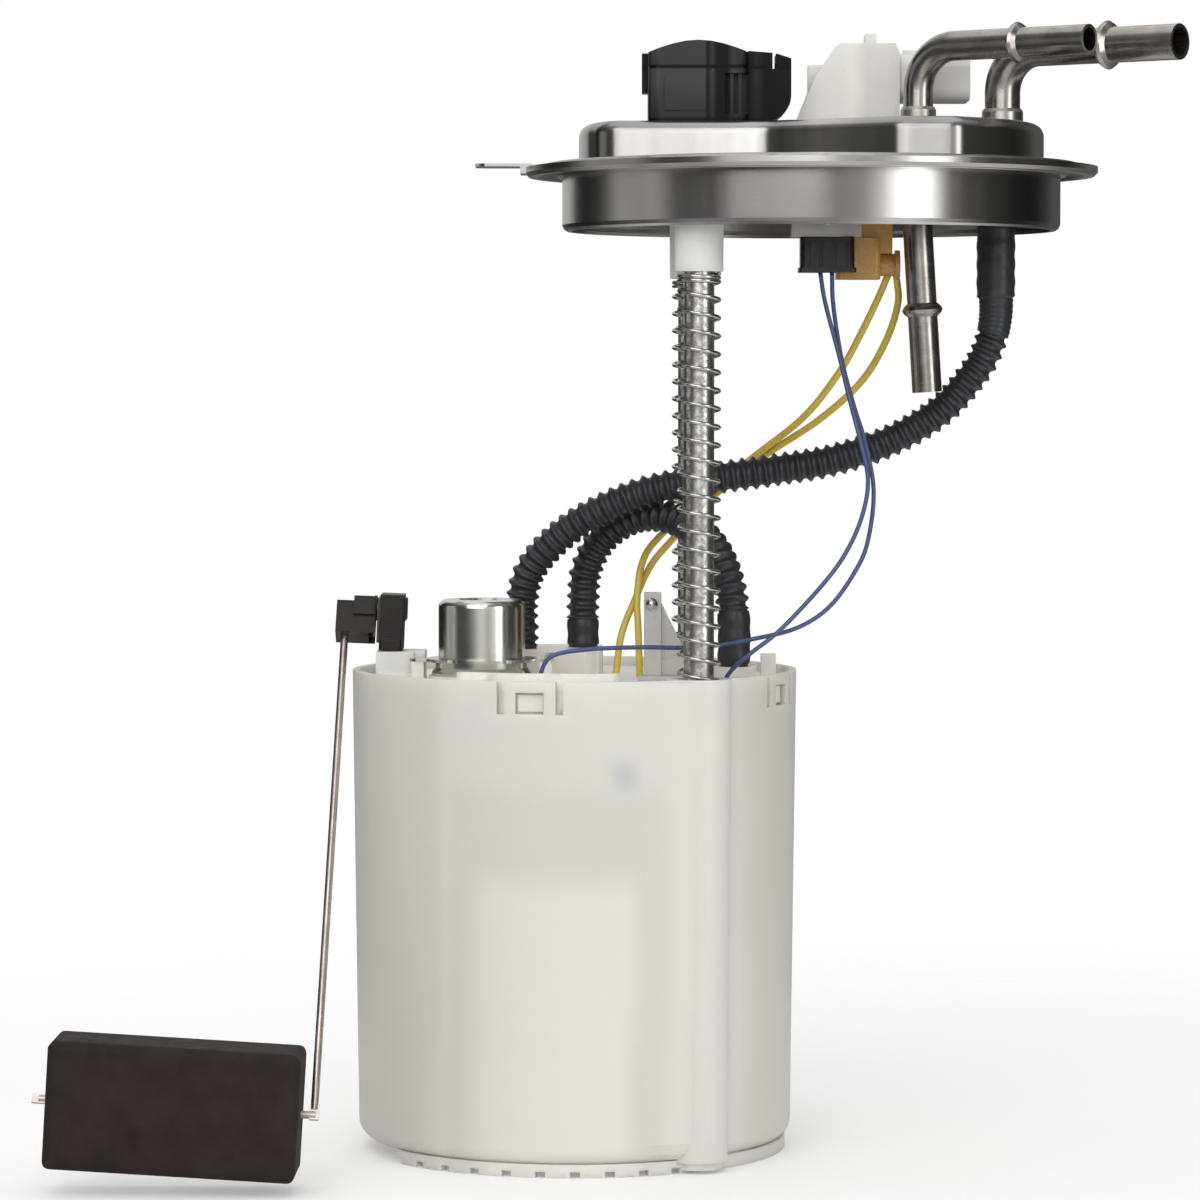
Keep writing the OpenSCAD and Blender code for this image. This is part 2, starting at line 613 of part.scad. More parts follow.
module cup_inner() {
  r = cup_foot_r - cup_wall;
  rotate_extrude($fn = 120) polygon(concat([[0, cup_in_z], [r - 3, cup_in_z]],
    [for (i = [1:4]) [r - 3 + 3 * sin(22.5 * i), cup_in_z + 3 - 3 * cos(22.5 * i)]],
    [[cup_r - cup_wall, rim_z + 1], [0, rim_z + 1]]));
}
module reservoir_cup() {
  color("whitesmoke") difference() {
    union() {
      difference() {
        union() {
          translate([cup_x, 0, 0]) cup_outer();
          pocket_wall();
          mirror([0, 1, 0]) pocket_wall();
        }
        translate([cup_x, 0, 0]) cup_inner();
      }
      at_rods() pocket_outer();
      foot_ring();
    }
    at_rods() {
      translate([0, 0, seat_z - bushing_flange]) cylinder(r = pocket_bore, h = 40, $fn = 64);
      translate([0, 0, cup_in_z]) cylinder(r = pocket_bore - 0.4, h = bushing_z - cup_in_z, $fn = 64);
      translate([0, 0, cup_in_z]) cylinder(r = 5, h = 130, $fn = 64);
    }
    for (a = tab_angles) translate([cup_x, 0, 0]) rotate([0, 0, a]) tab_cuts();
    for (x = [18, 34]) translate([cup_x + x, 0, floor_z - 1]) cylinder(r = 3, h = 12, $fn = 32);
  }
}
module tab_cuts() {
  translate([cup_r - 4, -window_w / 2, window_z - window_h / 2]) cube([6, window_w, window_h]);
  for (y = [-1, 1]) translate([cup_r - 4, y * 7.8 - 1, rim_z - 8.5]) cube([6, 2, 10]);
}
foot_r = 57;
foot_notch = 9.2;
foot_gap = 2.6;
module foot_ring() {
  translate([cup_x, 0, 0]) difference() {
    translate([0, 0, floor_z]) tube(foot_r, foot_r - 2.4, foot_h + 0.5);
    for (i = [0:9]) rotate([0, 0, -62 - i * foot_notch]) translate([foot_r - 4, -foot_gap / 2, floor_z - 1])
      cube([6, foot_gap, 2.6]);
    for (i = [0:9]) rotate([0, 0, 62 + i * foot_notch]) translate([foot_r - 4, -foot_gap / 2, floor_z - 1])
      cube([6, foot_gap, 2.6]);
    translate([0, 0, floor_z - 1]) linear_extrude(foot_h + 2) polygon([[0, 0], [-90, 62], [-90, -62]]);
  }
  at_rods() translate([0, 0, floor_z + 1]) cylinder(r = pocket_r - 2, h = foot_h, $fn = 48);
}
block_x = -70.2;
block_y = 14;
block_w = 28.4;
block_d = 30;
module reservoir_cover() {
  color("antiquewhite") difference() {
    union() {
      translate([cup_x, 0, cover_z - cover_t]) cylinder(r = cover_r, h = cover_t, $fn = 120);
      translate([cup_x, 0, cover_z - 9]) tube(cover_r, cover_r - 1.8, 8);
      for (a = tab_angles) translate([cup_x, 0, 0]) rotate([0, 0, a]) cover_hook();
      translate([cup_x, 0, 0]) cover_lip();
      translate([reg_x, reg_y, cover_z - 1]) cylinder(r = 14, h = reg_z - 3.7 - cover_z + 1, $fn = 64);
      for (x = [-1, 1]) translate([reg_x + x * 17 - 1.6, reg_y - 3, cover_z - 1])
        cube([3.2, 6, reg_z - cover_z + 1]);
      translate([block_x, block_y, cover_z - 1]) linear_extrude(hose_foot_z - cover_z + 1)
        rounded_square(block_w, block_d, 5);
      translate([-21, -15, cover_z - 1]) cylinder(r = 6, h = jet_foot_z - cover_z + 1, $fn = 48);
      translate([-13.6, -12, cover_z - 1]) cube([4, 5, 8]);
    }
    at_rods() translate([0, 0, cover_z - 20]) cylinder(r = pocket_r + 0.3, h = 40, $fn = 64);
    translate([reg_x, reg_y, cover_z - 20]) cylinder(r = 7.05, h = 40, $fn = 48);
    translate([-21, -15, cover_z - 20]) cylinder(r = 2.6, h = 40, $fn = 32);
    for (p = [[-78, 8], [-61.4, 15]]) translate([p[0], p[1], cover_z - 20])
      cylinder(r = 2.6, h = 40, $fn = 32);
    translate([-35, 20, cover_z - 20]) cylinder(r = 7, h = 40, $fn = 48);
  }
}
module cover_hook() {
  translate([cover_r - 2, -window_w / 2 + 0.4, window_z - 2.2]) cube([2.6, window_w - 0.8, 4.4]);
  translate([cover_r - 1.5, -5, window_z - 2.2]) cube([1.5, 10, 5.6]);
}
module cover_lip() {
  rotate([0, 0, 238]) rotate_extrude(angle = 44, $fn = 120)
    translate([cover_r - 2.2, cover_z - 1]) square([2, rim_z + 2 - cover_z + 1]);
}
module foot_valve() {
  color("dimgray") translate([cup_x + 26, 0, cup_in_z]) difference() {
    rotate_extrude($fn = 48) polygon([[0, 0], [11.5, 0], [11.5, 0.8], [4, 1.4], [2.5, 3.4], [0, 3.8]]);
    for (x = [-8, 8]) translate([x, 0, -1]) cylinder(r = 1, h = 1.2, $fn = 24);
  }
}
module cover_plug() {
  color("tan") translate([-35, 20, cover_z - cover_t]) {
    cylinder(r = 6.95, h = cover_t, $fn = 48);
    translate([0, 0, cover_t]) cylinder(r = 8.4, h = 1.4, $fn = 48);
    translate([0, 0, cover_t + 1.4]) soft_box(7, 3, 3, 1);
  }
}
bracket_w = 12.4;
module sender_bracket() {
  color("ghostwhite") translate([-111.6, -8, cover_z]) {
    translate([-1, -7, 0]) cube([bracket_w - 3.4, 14, 7.9]);
    for (y = [-7:2.8:7]) translate([-bracket_w / 2 + 1, y - 0.5, 0]) cube([bracket_w - 2, 1, 7.9]);
    translate([-bracket_w / 2 + 2, -9, 0]) cube([bracket_w - 2, 18, 2.4]);
  }
}
module retainer_post() {
  color("lightblue") translate([-43, -15, cover_z]) difference() {
    union() {
      translate([-2, -3, 0]) cube([4.6, 6, 23.8]);
      translate([-3.5, -5, 0]) cube([12, 10, 1.6]);
      translate([2, 0, 0]) rotate([90, 0, 0]) linear_extrude(2.4, center = true)
        polygon([[0, 0], [7.5, 0], [6.5, 9], [0.6, 21], [0, 21]]);
    }
    translate([0, -4, 20.8]) rotate([-90, 0, 0]) cylinder(r = 1, h = 8, $fn = 24);
  }
}
module post_screw() {
  color("silver") translate([-43, -18, cover_z + 20.8]) rotate([90, 0, 0]) {
    translate([0, 0, -4.5]) cylinder(r = 1, h = 5, $fn = 24);
    rotate_extrude($fn = 32) polygon(concat([[0, 0]], arc([0, 0], 1.7, 0, 90, 4)));
  }
}

module at_pump() {
  translate([pump_x, pump_y, 0]) children();
}
mid_z = can_z + 7.4;
module pump_holder() {
  color("ghostwhite") at_pump() difference() {
    translate([0, 0, cup_in_z]) tube(holder_r, holder_r - 1.5, can_top_z - cup_in_z + 2);
    for (a = [45:90:315]) rotate([0, 0, a]) translate([0, -5, cup_in_z - 1]) cube([30, 10, 7]);
    for (a = [0:90:270]) rotate([0, 0, a]) translate([10, -3, can_z + 18]) cube([20, 6, 30]);
  }
}
module pump_isolator() {
  color("dimgray") at_pump() for (z = [can_z + 2, can_top_z - 8]) translate([0, 0, z])
    tube(holder_r - 1.5, can_r, 6);
}
module pump_can() {
  color("silver") at_pump() translate([0, 0, can_z]) tube(can_r, can_in, can_len);
}
module pump_magnets() {
  color("gray") at_pump() for (a = [20, 200]) rotate([0, 0, a]) translate([0, 0, can_z + 14])
    rotate_extrude(angle = 140, $fn = 96) translate([core_r + 0.8, 0]) square([can_in - core_r - 0.8, 34]);
}
impeller_r = 15.1;
impeller_h = 3.2;
module pump_inlet_cap() {
  color("black") at_pump() difference() {
    union() {
      translate([0, 0, can_z]) cylinder(r = can_in, h = mid_z - can_z - 1.8, $fn = 96);
      translate([0, 0, can_z - 2.6]) cylinder(r = 12, h = 3, $fn = 64);
    }
    translate([0, 0, mid_z - 1.8 - impeller_h - 0.6]) cylinder(r = impeller_r + 0.3, h = 10, $fn = 96);
    translate([10, 0, can_z - 5]) cylinder(r = 1.6, h = 12, $fn = 32);
    translate([0, 0, can_z - 0.4]) cylinder(r = shaft_r + pin_clear, h = 5, $fn = 48);
  }
}
module pump_mid_plate() {
  color("black") at_pump() translate([0, 0, mid_z - 1.8]) difference() {
    cylinder(r = can_in, h = 3.6, $fn = 96);
    translate([0, 0, -1]) cylinder(r = 4, h = 6, $fn = 48);
    translate([0, 10, -1]) cylinder(r = 2, h = 6, $fn = 32);
  }
}
bearing_top_z = can_top_z - 6;
module pump_bearings() {
  color("peru") at_pump() {
    translate([0, 0, mid_z - 1.8]) tube(4, shaft_r + pin_clear, 3.6);
    translate([0, 0, bearing_top_z]) tube(4, shaft_r + pin_clear, 4);
  }
}
module shaft() {
  color("silver") at_pump() translate([0, 0, can_z - 0.2]) cylinder(r = shaft_r, h = can_len - 2.6, $fn = 64);
}
core_z = can_z + 15;
core_len = 32;
commutator_z = core_z + core_len + 4;
module armature_core() {
  color("saddlebrown") at_pump() difference() {
    union() {
      difference() {
        translate([0, 0, core_z]) cylinder(r = core_r, h = core_len, $fn = 96);
        for (a = [0:45:315]) rotate([0, 0, a]) translate([core_r - 2, -0.7, core_z - 1])
          cube([4, 1.4, core_len + 2]);
      }
      translate([0, 0, core_z - 3]) cylinder(r = core_r - 3, h = core_len + 4.6, $fn = 64);
      translate([0, 0, core_z + core_len + 2]) cylinder(r = 7, h = 8, $fn = 64);
    }
    translate([0, 0, core_z - 5]) cylinder(r = shaft_r, h = core_len + 30, $fn = 64);
  }
}
module impeller() {
  color("black") at_pump() translate([0, 0, mid_z - 1.8 - impeller_h - 0.3]) difference() {
    cylinder(r = impeller_r, h = impeller_h, $fn = 96);
    translate([0, 0, -1]) cylinder(r = shaft_r, h = impeller_h + 2, $fn = 48);
    for (a = [0:20:340]) rotate([0, 0, a]) translate([impeller_r - 2.2, -0.8, -1])
      cube([4, 1.6, impeller_h + 2]);
  }
}
module pump_brushes() {
  color("dimgray") at_pump() for (a = [0, 180]) rotate([0, 0, a]) translate([7.1, -2, commutator_z - 0.5])
    cube([6, 4, 4]);
}
cap_z = can_top_z - 7;
nipple_top_z = can_top_z + 18;
module pump_outlet_cap() {
  color("black") at_pump() difference() {
    union() {
      translate([0, 0, cap_z]) cylinder(r = can_in, h = 9, $fn = 96);
      translate([0, 0, cap_z + 9]) cylinder(r = can_in - 3, h = 3, $fn = 96);
      translate([outlet_x, 0, cap_z + 8]) cylinder(r = 4.2, h = nipple_top_z - cap_z - 8, $fn = 48);
      for (a = [0, 180]) rotate([0, 0, a]) translate([9, -3.4, commutator_z - 2])
        cube([6.5, 6.8, cap_z - commutator_z + 3]);
      for (s = [-1, 1]) translate([-6, s * 9 - 2.5, cap_z + 11]) cube([6, 5, 6]);
    }
    for (a = [0, 180]) rotate([0, 0, a]) translate([6, -2, commutator_z - 0.5]) cube([7.1, 4, 4]);
    translate([0, 0, cap_z - 1]) cylinder(r = 4, h = bearing_top_z + 4 - cap_z + 1, $fn = 48);
    translate([outlet_x, 0, cap_z - 1]) cylinder(r = 1.5, h = 40, $fn = 32);
    translate([outlet_x, 0, valve_z - 0.3]) cylinder(r = 2.7, h = 6.6, $fn = 48);
    translate([outlet_x, 0, valve_z + 6]) cylinder(r = 2.2, h = 20, $fn = 32);
  }
}
valve_z = can_top_z + 5;
module check_valve() {
  color("firebrick") at_pump() translate([outlet_x, 0, valve_z]) rotate_extrude($fn = 48)
    polygon([[0, -0.2], [2.5, -0.2], [2.5, 1.2], [1.2, 2], [1, 3.6], [0, 3.8]]);
}
module strainer() {
  color("whitesmoke") at_pump() {
    translate([0, 0, cup_in_z + 1.9]) soft_box(36, 18, 3.2, 1.5);
    translate([10, 0, cup_in_z + 3]) tube(4, 1.6, can_z - 2.6 - cup_in_z - 3);
  }
}
riser_r = 5;
module riser_hose() {
  color("black") at_pump() translate([outlet_x, 0, 0]) {
    translate([0, 0, nipple_top_z - 12]) tube(riser_r + 0.7, 4.2, 13);
    translate([0, 0, nipple_top_z + 1]) tube(riser_r, 3.4, cover_z - cover_t - nipple_top_z - 1);
    for (z = [nipple_top_z + 3:3:cover_z - cover_t - 3]) translate([0, 0, z])
      tube(riser_r + 0.7, riser_r, 1.5);
  }
}
jet_x = -21;
jet_y = -15;
jet_z = cup_in_z + 6.2;
module jet_pump() {
  color("ghostwhite") difference() {
    union() {
      translate([jet_x, jet_y, jet_z]) cylinder(r = 4, h = cover_z - cover_t - jet_z, $fn = 48);
      translate([jet_x + 5, jet_y, jet_z]) rotate([0, -90, 0]) cylinder(r = 5.4, h = 25, $fn = 48);
      translate([jet_x - 18, jet_y - 5, cup_in_z]) cube([4, 7, 3]);
    }
    translate([jet_x, jet_y, jet_z]) cylinder(r = 2.6, h = 200, $fn = 32);
    translate([jet_x + 3, jet_y, jet_z]) rotate([0, -90, 0]) cylinder(r = 3.4, h = 40, $fn = 48);
  }
}
module jet_nozzle() {
  color("peru") translate([jet_x - 3, jet_y, jet_z]) rotate([0, -90, 0]) difference() {
    union() {
      cylinder(r = 3.4, h = 3, $fn = 48);
      translate([0, 0, 3]) cylinder(r1 = 2.6, r2 = 1.2, h = 5, $fn = 48);
    }
    translate([0, 0, -1]) cylinder(r = 0.6, h = 20, $fn = 24);
  }
}

module at_reg() {
  translate([reg_x, reg_y, reg_z]) children();
}
module regulator_cup() {
  r = reg_r;
  color("silver") at_reg() rotate_extrude($fn = 96) polygon(concat(
    [[r - 1, 0], [r, 0]], arc([r - 2, reg_h - 2], 2, 0, 90, 6),
    [[6.5, reg_h], [5.5, reg_h - 0.8], [0, reg_h - 0.8], [0, reg_h - 1.8], [6, reg_h - 1.8], [7, reg_h - 1]],
    arc([r - 2.2, reg_h - 2.2], 1.2, 90, 0, 4)));
}
module regulator_base() {
  color("lightsteelblue") at_reg() difference() {
    rotate_extrude($fn = 96) polygon([[0, -16], [6.4, -16], [7, -15.4], [7, -3.7], [13, -3.7], [13.4, -3],
      [12.4, -1.6], [12.4, 0], [0, 0]]);
    translate([0, 0, -17]) cylinder(r = 1.5, h = 20, $fn = 32);
    for (a = [0:60:300]) rotate([0, 0, a]) translate([5, 0, -17]) cylinder(r = 1, h = 20, $fn = 24);
  }
}
module regulator_clip() {
  color("silver") at_reg() difference() {
    union() {
      cylinder(r = 15, h = 0.8, $fn = 96);
      for (s = [-1, 1]) translate([s * 15.4, 0, 0.4]) linear_extrude(0.8, center = true)
        rounded_square(7.8, 6.4, 2);
      translate([16.6, -3, 0]) cube([2.6, 6, 2.4]);
    }
    translate([0, 0, -1]) cylinder(r = reg_r, h = 3, $fn = 96);
    for (a = [60, 120, 240, 300]) rotate([0, 0, a]) translate([15.6, 0, -1]) cylinder(r = 2, h = 3, $fn = 32);
  }
}
module regulator_valve() {
  color("gold") at_reg() translate([0, 0, 0.2]) rotate_extrude($fn = 64)
    polygon([[0, 0], [2.4, 0], [9.4, 1.6], [10, 1.6], [10, 2.6], [5, 2.6], [4.4, 4], [0, 4]]);
}
module regulator_spring() {
  steps = 10;
  turns = 6;
  z0 = 3.45;
  z1 = reg_h - 2.5;
  coil_r = 7;
  w = 0.6;
  color("silver") at_reg() loft([for (i = [0:turns * steps])
    let (a = -360 * i / steps, z = z0 + (z1 - z0) * i / turns / steps)
    [for (k = [0:5]) let (b = -60 * k)
      [(coil_r + w * cos(b)) * cos(a), (coil_r + w * cos(b)) * sin(a), z + w * sin(b)]]]);
}

// Frame of the level sender: x along the pivot pin, z up the arm
module at_sender() {
  translate(pivot) rotate([0, sender_tilt, 0]) children();
}
module at_arm() {
  at_sender() rotate([-arm_lean, 0, 0]) children();
}
lug_w = 2.4;
lug_t = 1;
float_gap = 2.2;
pin_tail = 4.4;
tip_len = 3.6;
pin_end_x = -lug_w / 2 - float_gap - float_len - pin_tail;
// The arm wire: a level leg along the pivot, a bend and the long leg
module arm_wire(r) {
  top_x = arm_top_x + arm_bend;
  translate([top_x, 0, 0]) rotate([0, 90, 0]) cylinder(r = r, h = 6.4 - top_x, $fn = 32);
  translate([top_x, 0, -arm_bend]) rotate([90, 0, 0]) rotate([0, 0, 90])
    rotate_extrude(angle = 90, $fn = 48) translate([arm_bend, 0]) circle(r, $fn = 32);
  translate([arm_top_x, 0, 1.5 - arm_len]) cylinder(r = r, h = arm_len - 1.5 - arm_bend, $fn = 32);
}
// Frame of the float pin: its x axis runs along the pin
module at_pin() {
  at_arm() translate([arm_top_x, 0, -arm_len]) rotate([0, pin_tilt, 0]) children();
}
module float_arm() {
  color("dimgray") {
    at_arm() {
      arm_wire(arm_r);
      translate([arm_top_x - lug_w / 2, -lug_t / 2, -arm_len - 1.3]) cube([lug_w, lug_t, 4.2]);
    }
    at_pin() {
      translate([0.4, 0, 0]) rotate([0, -90, 0])
        cylinder(r = arm_r, h = 0.4 - pin_end_x - tip_len / 2, $fn = 32);
      translate([pin_end_x, -0.45, -1.3]) cube([tip_len, 0.9, 2.6]);
    }
  }
}
module float_body() {
  color("saddlebrown") at_pin() difference() {
    rotate([arm_lean, 0, 0]) translate([-lug_w / 2 - float_gap - float_len / 2, 0, 0])
      soft_box(float_len, float_w, float_h, 2.6);
    translate([20, 0, 0]) rotate([0, -90, 0]) cylinder(r = arm_r + pin_clear, h = 120, $fn = 32);
  }
}
module sender_rotor() {
  color("saddlebrown") at_arm() difference() {
    union() {
      translate([-12, -3.6, -9]) cube([8.8, 7.2, 9.3]);
      for (y = [-3.6, 3]) translate([-3.4, y, -9]) cube([1.9, 0.6, 9.3]);
      translate([-7.4, -4.4, -4]) cube([5.6, 8.8, 5.4]);
      translate([-2, 0, 0]) rotate([0, 90, 0]) cylinder(r = 3.4, h = 0.7, $fn = 48);
    }
    arm_wire(arm_r);
  }
}
module sender_housing() {
  color("saddlebrown") at_sender() difference() {
    union() {
      translate([-0.3, -6, -11]) cube([6.4, 12, 15]);
      translate([6, -4.5, -3]) cube([0.8, 9, 6]);
      translate([0.1, -7.2, -11]) cube([5.4, 14.4, 3]);
    }
    translate([-5, 0, 0]) rotate([0, 90, 0]) cylinder(r = arm_r + pin_clear, h = 20, $fn = 32);
  }
}
module sender_card() {
  color("white") at_sender() difference() {
    translate([-1, -5.6, -9]) cube([0.7, 11.2, 12]);
    translate([-5, 0, 0]) rotate([0, 90, 0]) cylinder(r = arm_r + 0.6, h = 20, $fn = 32);
  }
}
module wiper() {
  color("gold") at_arm() for (y = [-2.6, 1.8]) translate([-3.2, y, -7.6]) cube([1.6, 0.8, 3.5]);
}

// The supply hose starts in a plain sleeve and ends on the cover
module supply_hose() {
  n = len(supply_route);
  color("black") cord(supply_route, [for (i = [0:n - 1]) i < 3 ? sleeve_d / 2 : hose_d / 2], 12);
}
module jet_hose() {
  color("black") cord(jet_route, [for (p = jet_route) hose_d / 2], 12);
}
blue_r = 0.6;
yellow_r = 0.95;
module wire_blue() {
  color("royalblue") for (r = blue_routes) cord(r, [for (p = r) blue_r], 8);
}
module wire_yellow() {
  color("goldenrod") for (r = yellow_routes) cord(r, [for (p = r) yellow_r], 8);
}

brim_plate();
deck_pan();
collar_ring();
supply_tube();
return_tube();
tube_ferrules();
guide_rod_front();
guide_rod_rear();
rod_bosses();
rod_clips();
guide_bushings();
spring_front();
spring_rear();
sensor_body();
sensor_cap();
sensor_terminals();
power_connector();
power_terminals();
connector_base();
sender_plug();
pump_plug();
reservoir_cup();
reservoir_cover();
foot_valve();
cover_plug();
sender_bracket();
retainer_post();
post_screw();
pump_holder();
pump_isolator();
pump_can();
pump_magnets();
pump_inlet_cap();
pump_mid_plate();
pump_outlet_cap();
pump_bearings();
pump_brushes();
check_valve();
strainer();
riser_hose();
shaft();
armature_core();
impeller();
jet_pump();
jet_nozzle();
regulator_cup();
regulator_base();
regulator_clip();
regulator_valve();
regulator_spring();
sender_housing();
sender_card();
sender_rotor();
wiper();
float_arm();
float_body();
supply_hose();
jet_hose();
wire_blue();
wire_yellow();
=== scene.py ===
import json
import math

import bpy
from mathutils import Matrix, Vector


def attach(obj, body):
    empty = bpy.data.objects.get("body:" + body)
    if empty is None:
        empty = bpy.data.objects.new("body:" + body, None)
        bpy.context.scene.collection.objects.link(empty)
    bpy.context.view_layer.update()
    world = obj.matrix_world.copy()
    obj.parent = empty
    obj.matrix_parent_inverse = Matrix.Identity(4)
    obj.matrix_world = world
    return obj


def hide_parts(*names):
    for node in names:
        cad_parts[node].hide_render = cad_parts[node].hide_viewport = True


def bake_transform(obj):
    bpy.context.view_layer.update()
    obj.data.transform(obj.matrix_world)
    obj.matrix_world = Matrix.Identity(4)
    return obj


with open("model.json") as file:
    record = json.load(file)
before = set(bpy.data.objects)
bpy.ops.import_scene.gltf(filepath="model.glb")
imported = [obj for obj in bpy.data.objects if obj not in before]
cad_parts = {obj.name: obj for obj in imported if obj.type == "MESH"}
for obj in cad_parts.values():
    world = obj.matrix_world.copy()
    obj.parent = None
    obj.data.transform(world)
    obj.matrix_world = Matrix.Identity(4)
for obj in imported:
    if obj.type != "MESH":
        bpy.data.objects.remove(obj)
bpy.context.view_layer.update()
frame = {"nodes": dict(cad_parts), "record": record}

MM = 0.001
NODES = frame["nodes"]

# Camera: the photograph's place and angle, from the guide rods and the rim.
# The pitch is in degrees below level, the lens in millimetres.
CAMERA_AT = Vector((-56.8, -1300, -53.8)) * MM
CAMERA_PITCH = 2.65
LENS = 144.3

# The height of the reservoir's foot, where the floor lies
FLOOR_Z = -262 * MM


def add_camera():
    data = bpy.data.cameras.new("camera")
    data.lens = LENS
    data.sensor_width = 36
    data.clip_start = 0.05
    camera = bpy.data.objects.new("camera", data)
    bpy.context.scene.collection.objects.link(camera)
    camera.location = CAMERA_AT
    camera.rotation_euler = (math.radians(90 - CAMERA_PITCH), 0, 0)
    bpy.context.scene.camera = camera


# Cord routes in millimetres: the points of the part's source, with the yellow wires led up into their plug.
# The feet are the heights at which the hoses and wires meet the reservoir's cover.
HOSE_FOOT = -127.5
JET_FOOT = -131
COVER = -135
SUPPLY_ROUTE = [
    (49.8, -2, -12.5), (49.8, -2, -29), (49.8, -2, -37), (48.4, -2, -44), (44.4, -2, -52),
    (35, -2, -62.7), (21.5, -2, -70.8), (5.4, -2, -76.2), (-10.9, -2, -78.9), (-29.8, -2, -81.6),
    (-46, -1, -85.2), (-59.5, 1, -91.2), (-69, 4, -98), (-75.8, 7, -106.2), (-78, 8, -114.5),
    (-78, 8, -122), (-78, 8, HOSE_FOOT)]
JET_ROUTE = [
    (-61.4, 15, HOSE_FOOT), (-61.4, 15, -115), (-60.3, 14.5, -105.5), (-55.2, 12.5, -96.8),
    (-45.9, 8.5, -91.5), (-35.2, 3, -92.6), (-27, -5, -98.7), (-22.6, -12, -108), (-21, -15, -118.5),
    (-21, -15, JET_FOOT)]
BLUE_ROUTES = [
    [(1.7, -20, -26), (3, -20.5, -34), (6.7, -22, -48.2), (9.3, -24, -59.4), (12.1, -26, -70.5),
     (14.1, -27, -80.5), (12.8, -28, -89.5), (9, -29, -98.7), (2.9, -30, -107.5), (-8.8, -32, -120),
     (-17, -33, -126.5), (-22, -32, -131), (-24.5, -31, COVER)],
    [(4.8, -20, -26), (5.2, -20, -34.9), (7.5, -20, -49.3), (10.7, -21, -61.5), (13.6, -22, -71),
     (15.8, -24, -84), (14.1, -25, -97.7), (10.4, -26, -105.9), (4, -27, -114.5), (-4, -28, -119.8),
     (-14, -29, -122.5), (-30, -30.5, -125), (-46.8, -32, -125), (-60, -33, -125.5), (-69, -34, -127),
     (-72, -34, -130.5), (-72.5, -34, COVER)]]
YELLOW_ROUTES = [
    [(20.4, -8, -26.4), (17.7, -7, -32.8), (13.3, -4, -42.2), (7.8, 0, -52.4), (-1.5, 6, -64.5),
     (-15.1, 12, -75.6), (-29.5, 14, -87.4), (-41.2, 15, -98), (-45.3, 13, -104.5),
     (-46.7, 9, -114), (-46.4, 6.5, -122), (-46, 6, COVER)],
    [(22.6, -8, -26.4), (23.2, -6, -34), (20, -2, -44.5), (13.6, 2, -55.2), (2.4, 7, -65.5),
     (-11.8, 13, -75.1), (-25.4, 16, -86), (-36.8, 17.5, -98), (-43, 16, -105.4),
     (-47.5, 12, -115), (-51, 9, -124), (-52.5, 8, COVER)]]


# Mesh helpers
def new_object(name, mesh):
    obj = bpy.data.objects.new(name, mesh)
    bpy.context.scene.collection.objects.link(obj)
    return obj


def mesh_object(name, verts, faces):
    mesh = bpy.data.meshes.new(name)
    mesh.from_pydata(verts, [], faces)
    mesh.validate()
    mesh.polygons.foreach_set("use_smooth", [True] * len(mesh.polygons))
    return new_object(name, mesh)


def smooth_line(points, step):
    """A smooth line through the points, in even steps, and its length."""
    parts_each = 24
    pts = [Vector(p) for p in points]
    ends = [pts[0] * 2 - pts[1]] + pts + [pts[-1] * 2 - pts[-2]]
    fine = []
    for i in range(1, len(ends) - 2):
        a, b, c, d = ends[i - 1:i + 3]
        for k in range(parts_each):
            t = k / parts_each
            fine.append(0.5 * (2 * b + (c - a) * t + (2 * a - 5 * b + 4 * c - d) * t * t
                               + (3 * b - a - 3 * c + d) * t ** 3))
    fine.append(pts[-1])
    lengths = [0]
    for p, q in zip(fine, fine[1:]):
        lengths.append(lengths[-1] + (q - p).length)
    count = max(2, round(lengths[-1] / step))
    out, j = [], 0
    for k in range(count + 1):
        s = lengths[-1] * k / count
        while j < len(fine) - 2 and lengths[j + 1] < s:
            j += 1
        t = (s - lengths[j]) / max(1e-9, lengths[j + 1] - lengths[j])
        out.append(fine[j].lerp(fine[j + 1], min(1, t)))
    return out, lengths[-1]


def tube_rings(line, radius_at, sides):
    """Rings round a line, carried along without twist."""
    rings = []
    normal = None
    n = len(line)
    for i, p in enumerate(line):
        tangent = (line[min(n - 1, i + 1)] - line[max(0, i - 1)]).normalized()
        if normal is None:
            normal = tangent.orthogonal().normalized()
        normal = (normal - tangent * normal.dot(tangent)).normalized()
        side = tangent.cross(normal)
        r = radius_at(i)
        rings.append([p + r * (math.cos(2 * math.pi * k / sides) * normal
                               + math.sin(2 * math.pi * k / sides) * side) for k in range(sides)])
    return rings


def skin(name, rings):
    """A closed mesh through rings of points in millimetres, with a cap at each end."""
    n = len(rings[0])
    verts = [tuple(v * MM) for ring in rings for v in ring]
    faces = []
    for j in range(len(rings) - 1):
        for i in range(n):
            a, b = j * n + i, j * n + (i + 1) % n
            faces.append((a, b, b + n, a + n))
    faces.append(tuple(reversed(range(n))))
    faces.append(tuple(range((len(rings) - 1) * n, len(rings) * n)))
    return mesh_object(name, verts, faces)


def route_length(points):
    return smooth_line(points, 1)[1] * MM


# Materials
def node_tree(name):
    material = bpy.data.materials.new(name)
    material.use_nodes = True
    tree = material.node_tree
    return material, tree, tree.nodes["Principled BSDF"]


def coords(tree, scale):
    """Object coordinates, stretched by a scale in each direction."""
    where = tree.nodes.new("ShaderNodeTexCoord")
    mapping = tree.nodes.new("ShaderNodeMapping")
    mapping.inputs["Scale"].default_value = scale if isinstance(scale, tuple) else (scale,) * 3
    tree.links.new(where.outputs["Object"], mapping.inputs["Vector"])
    return mapping.outputs["Vector"]


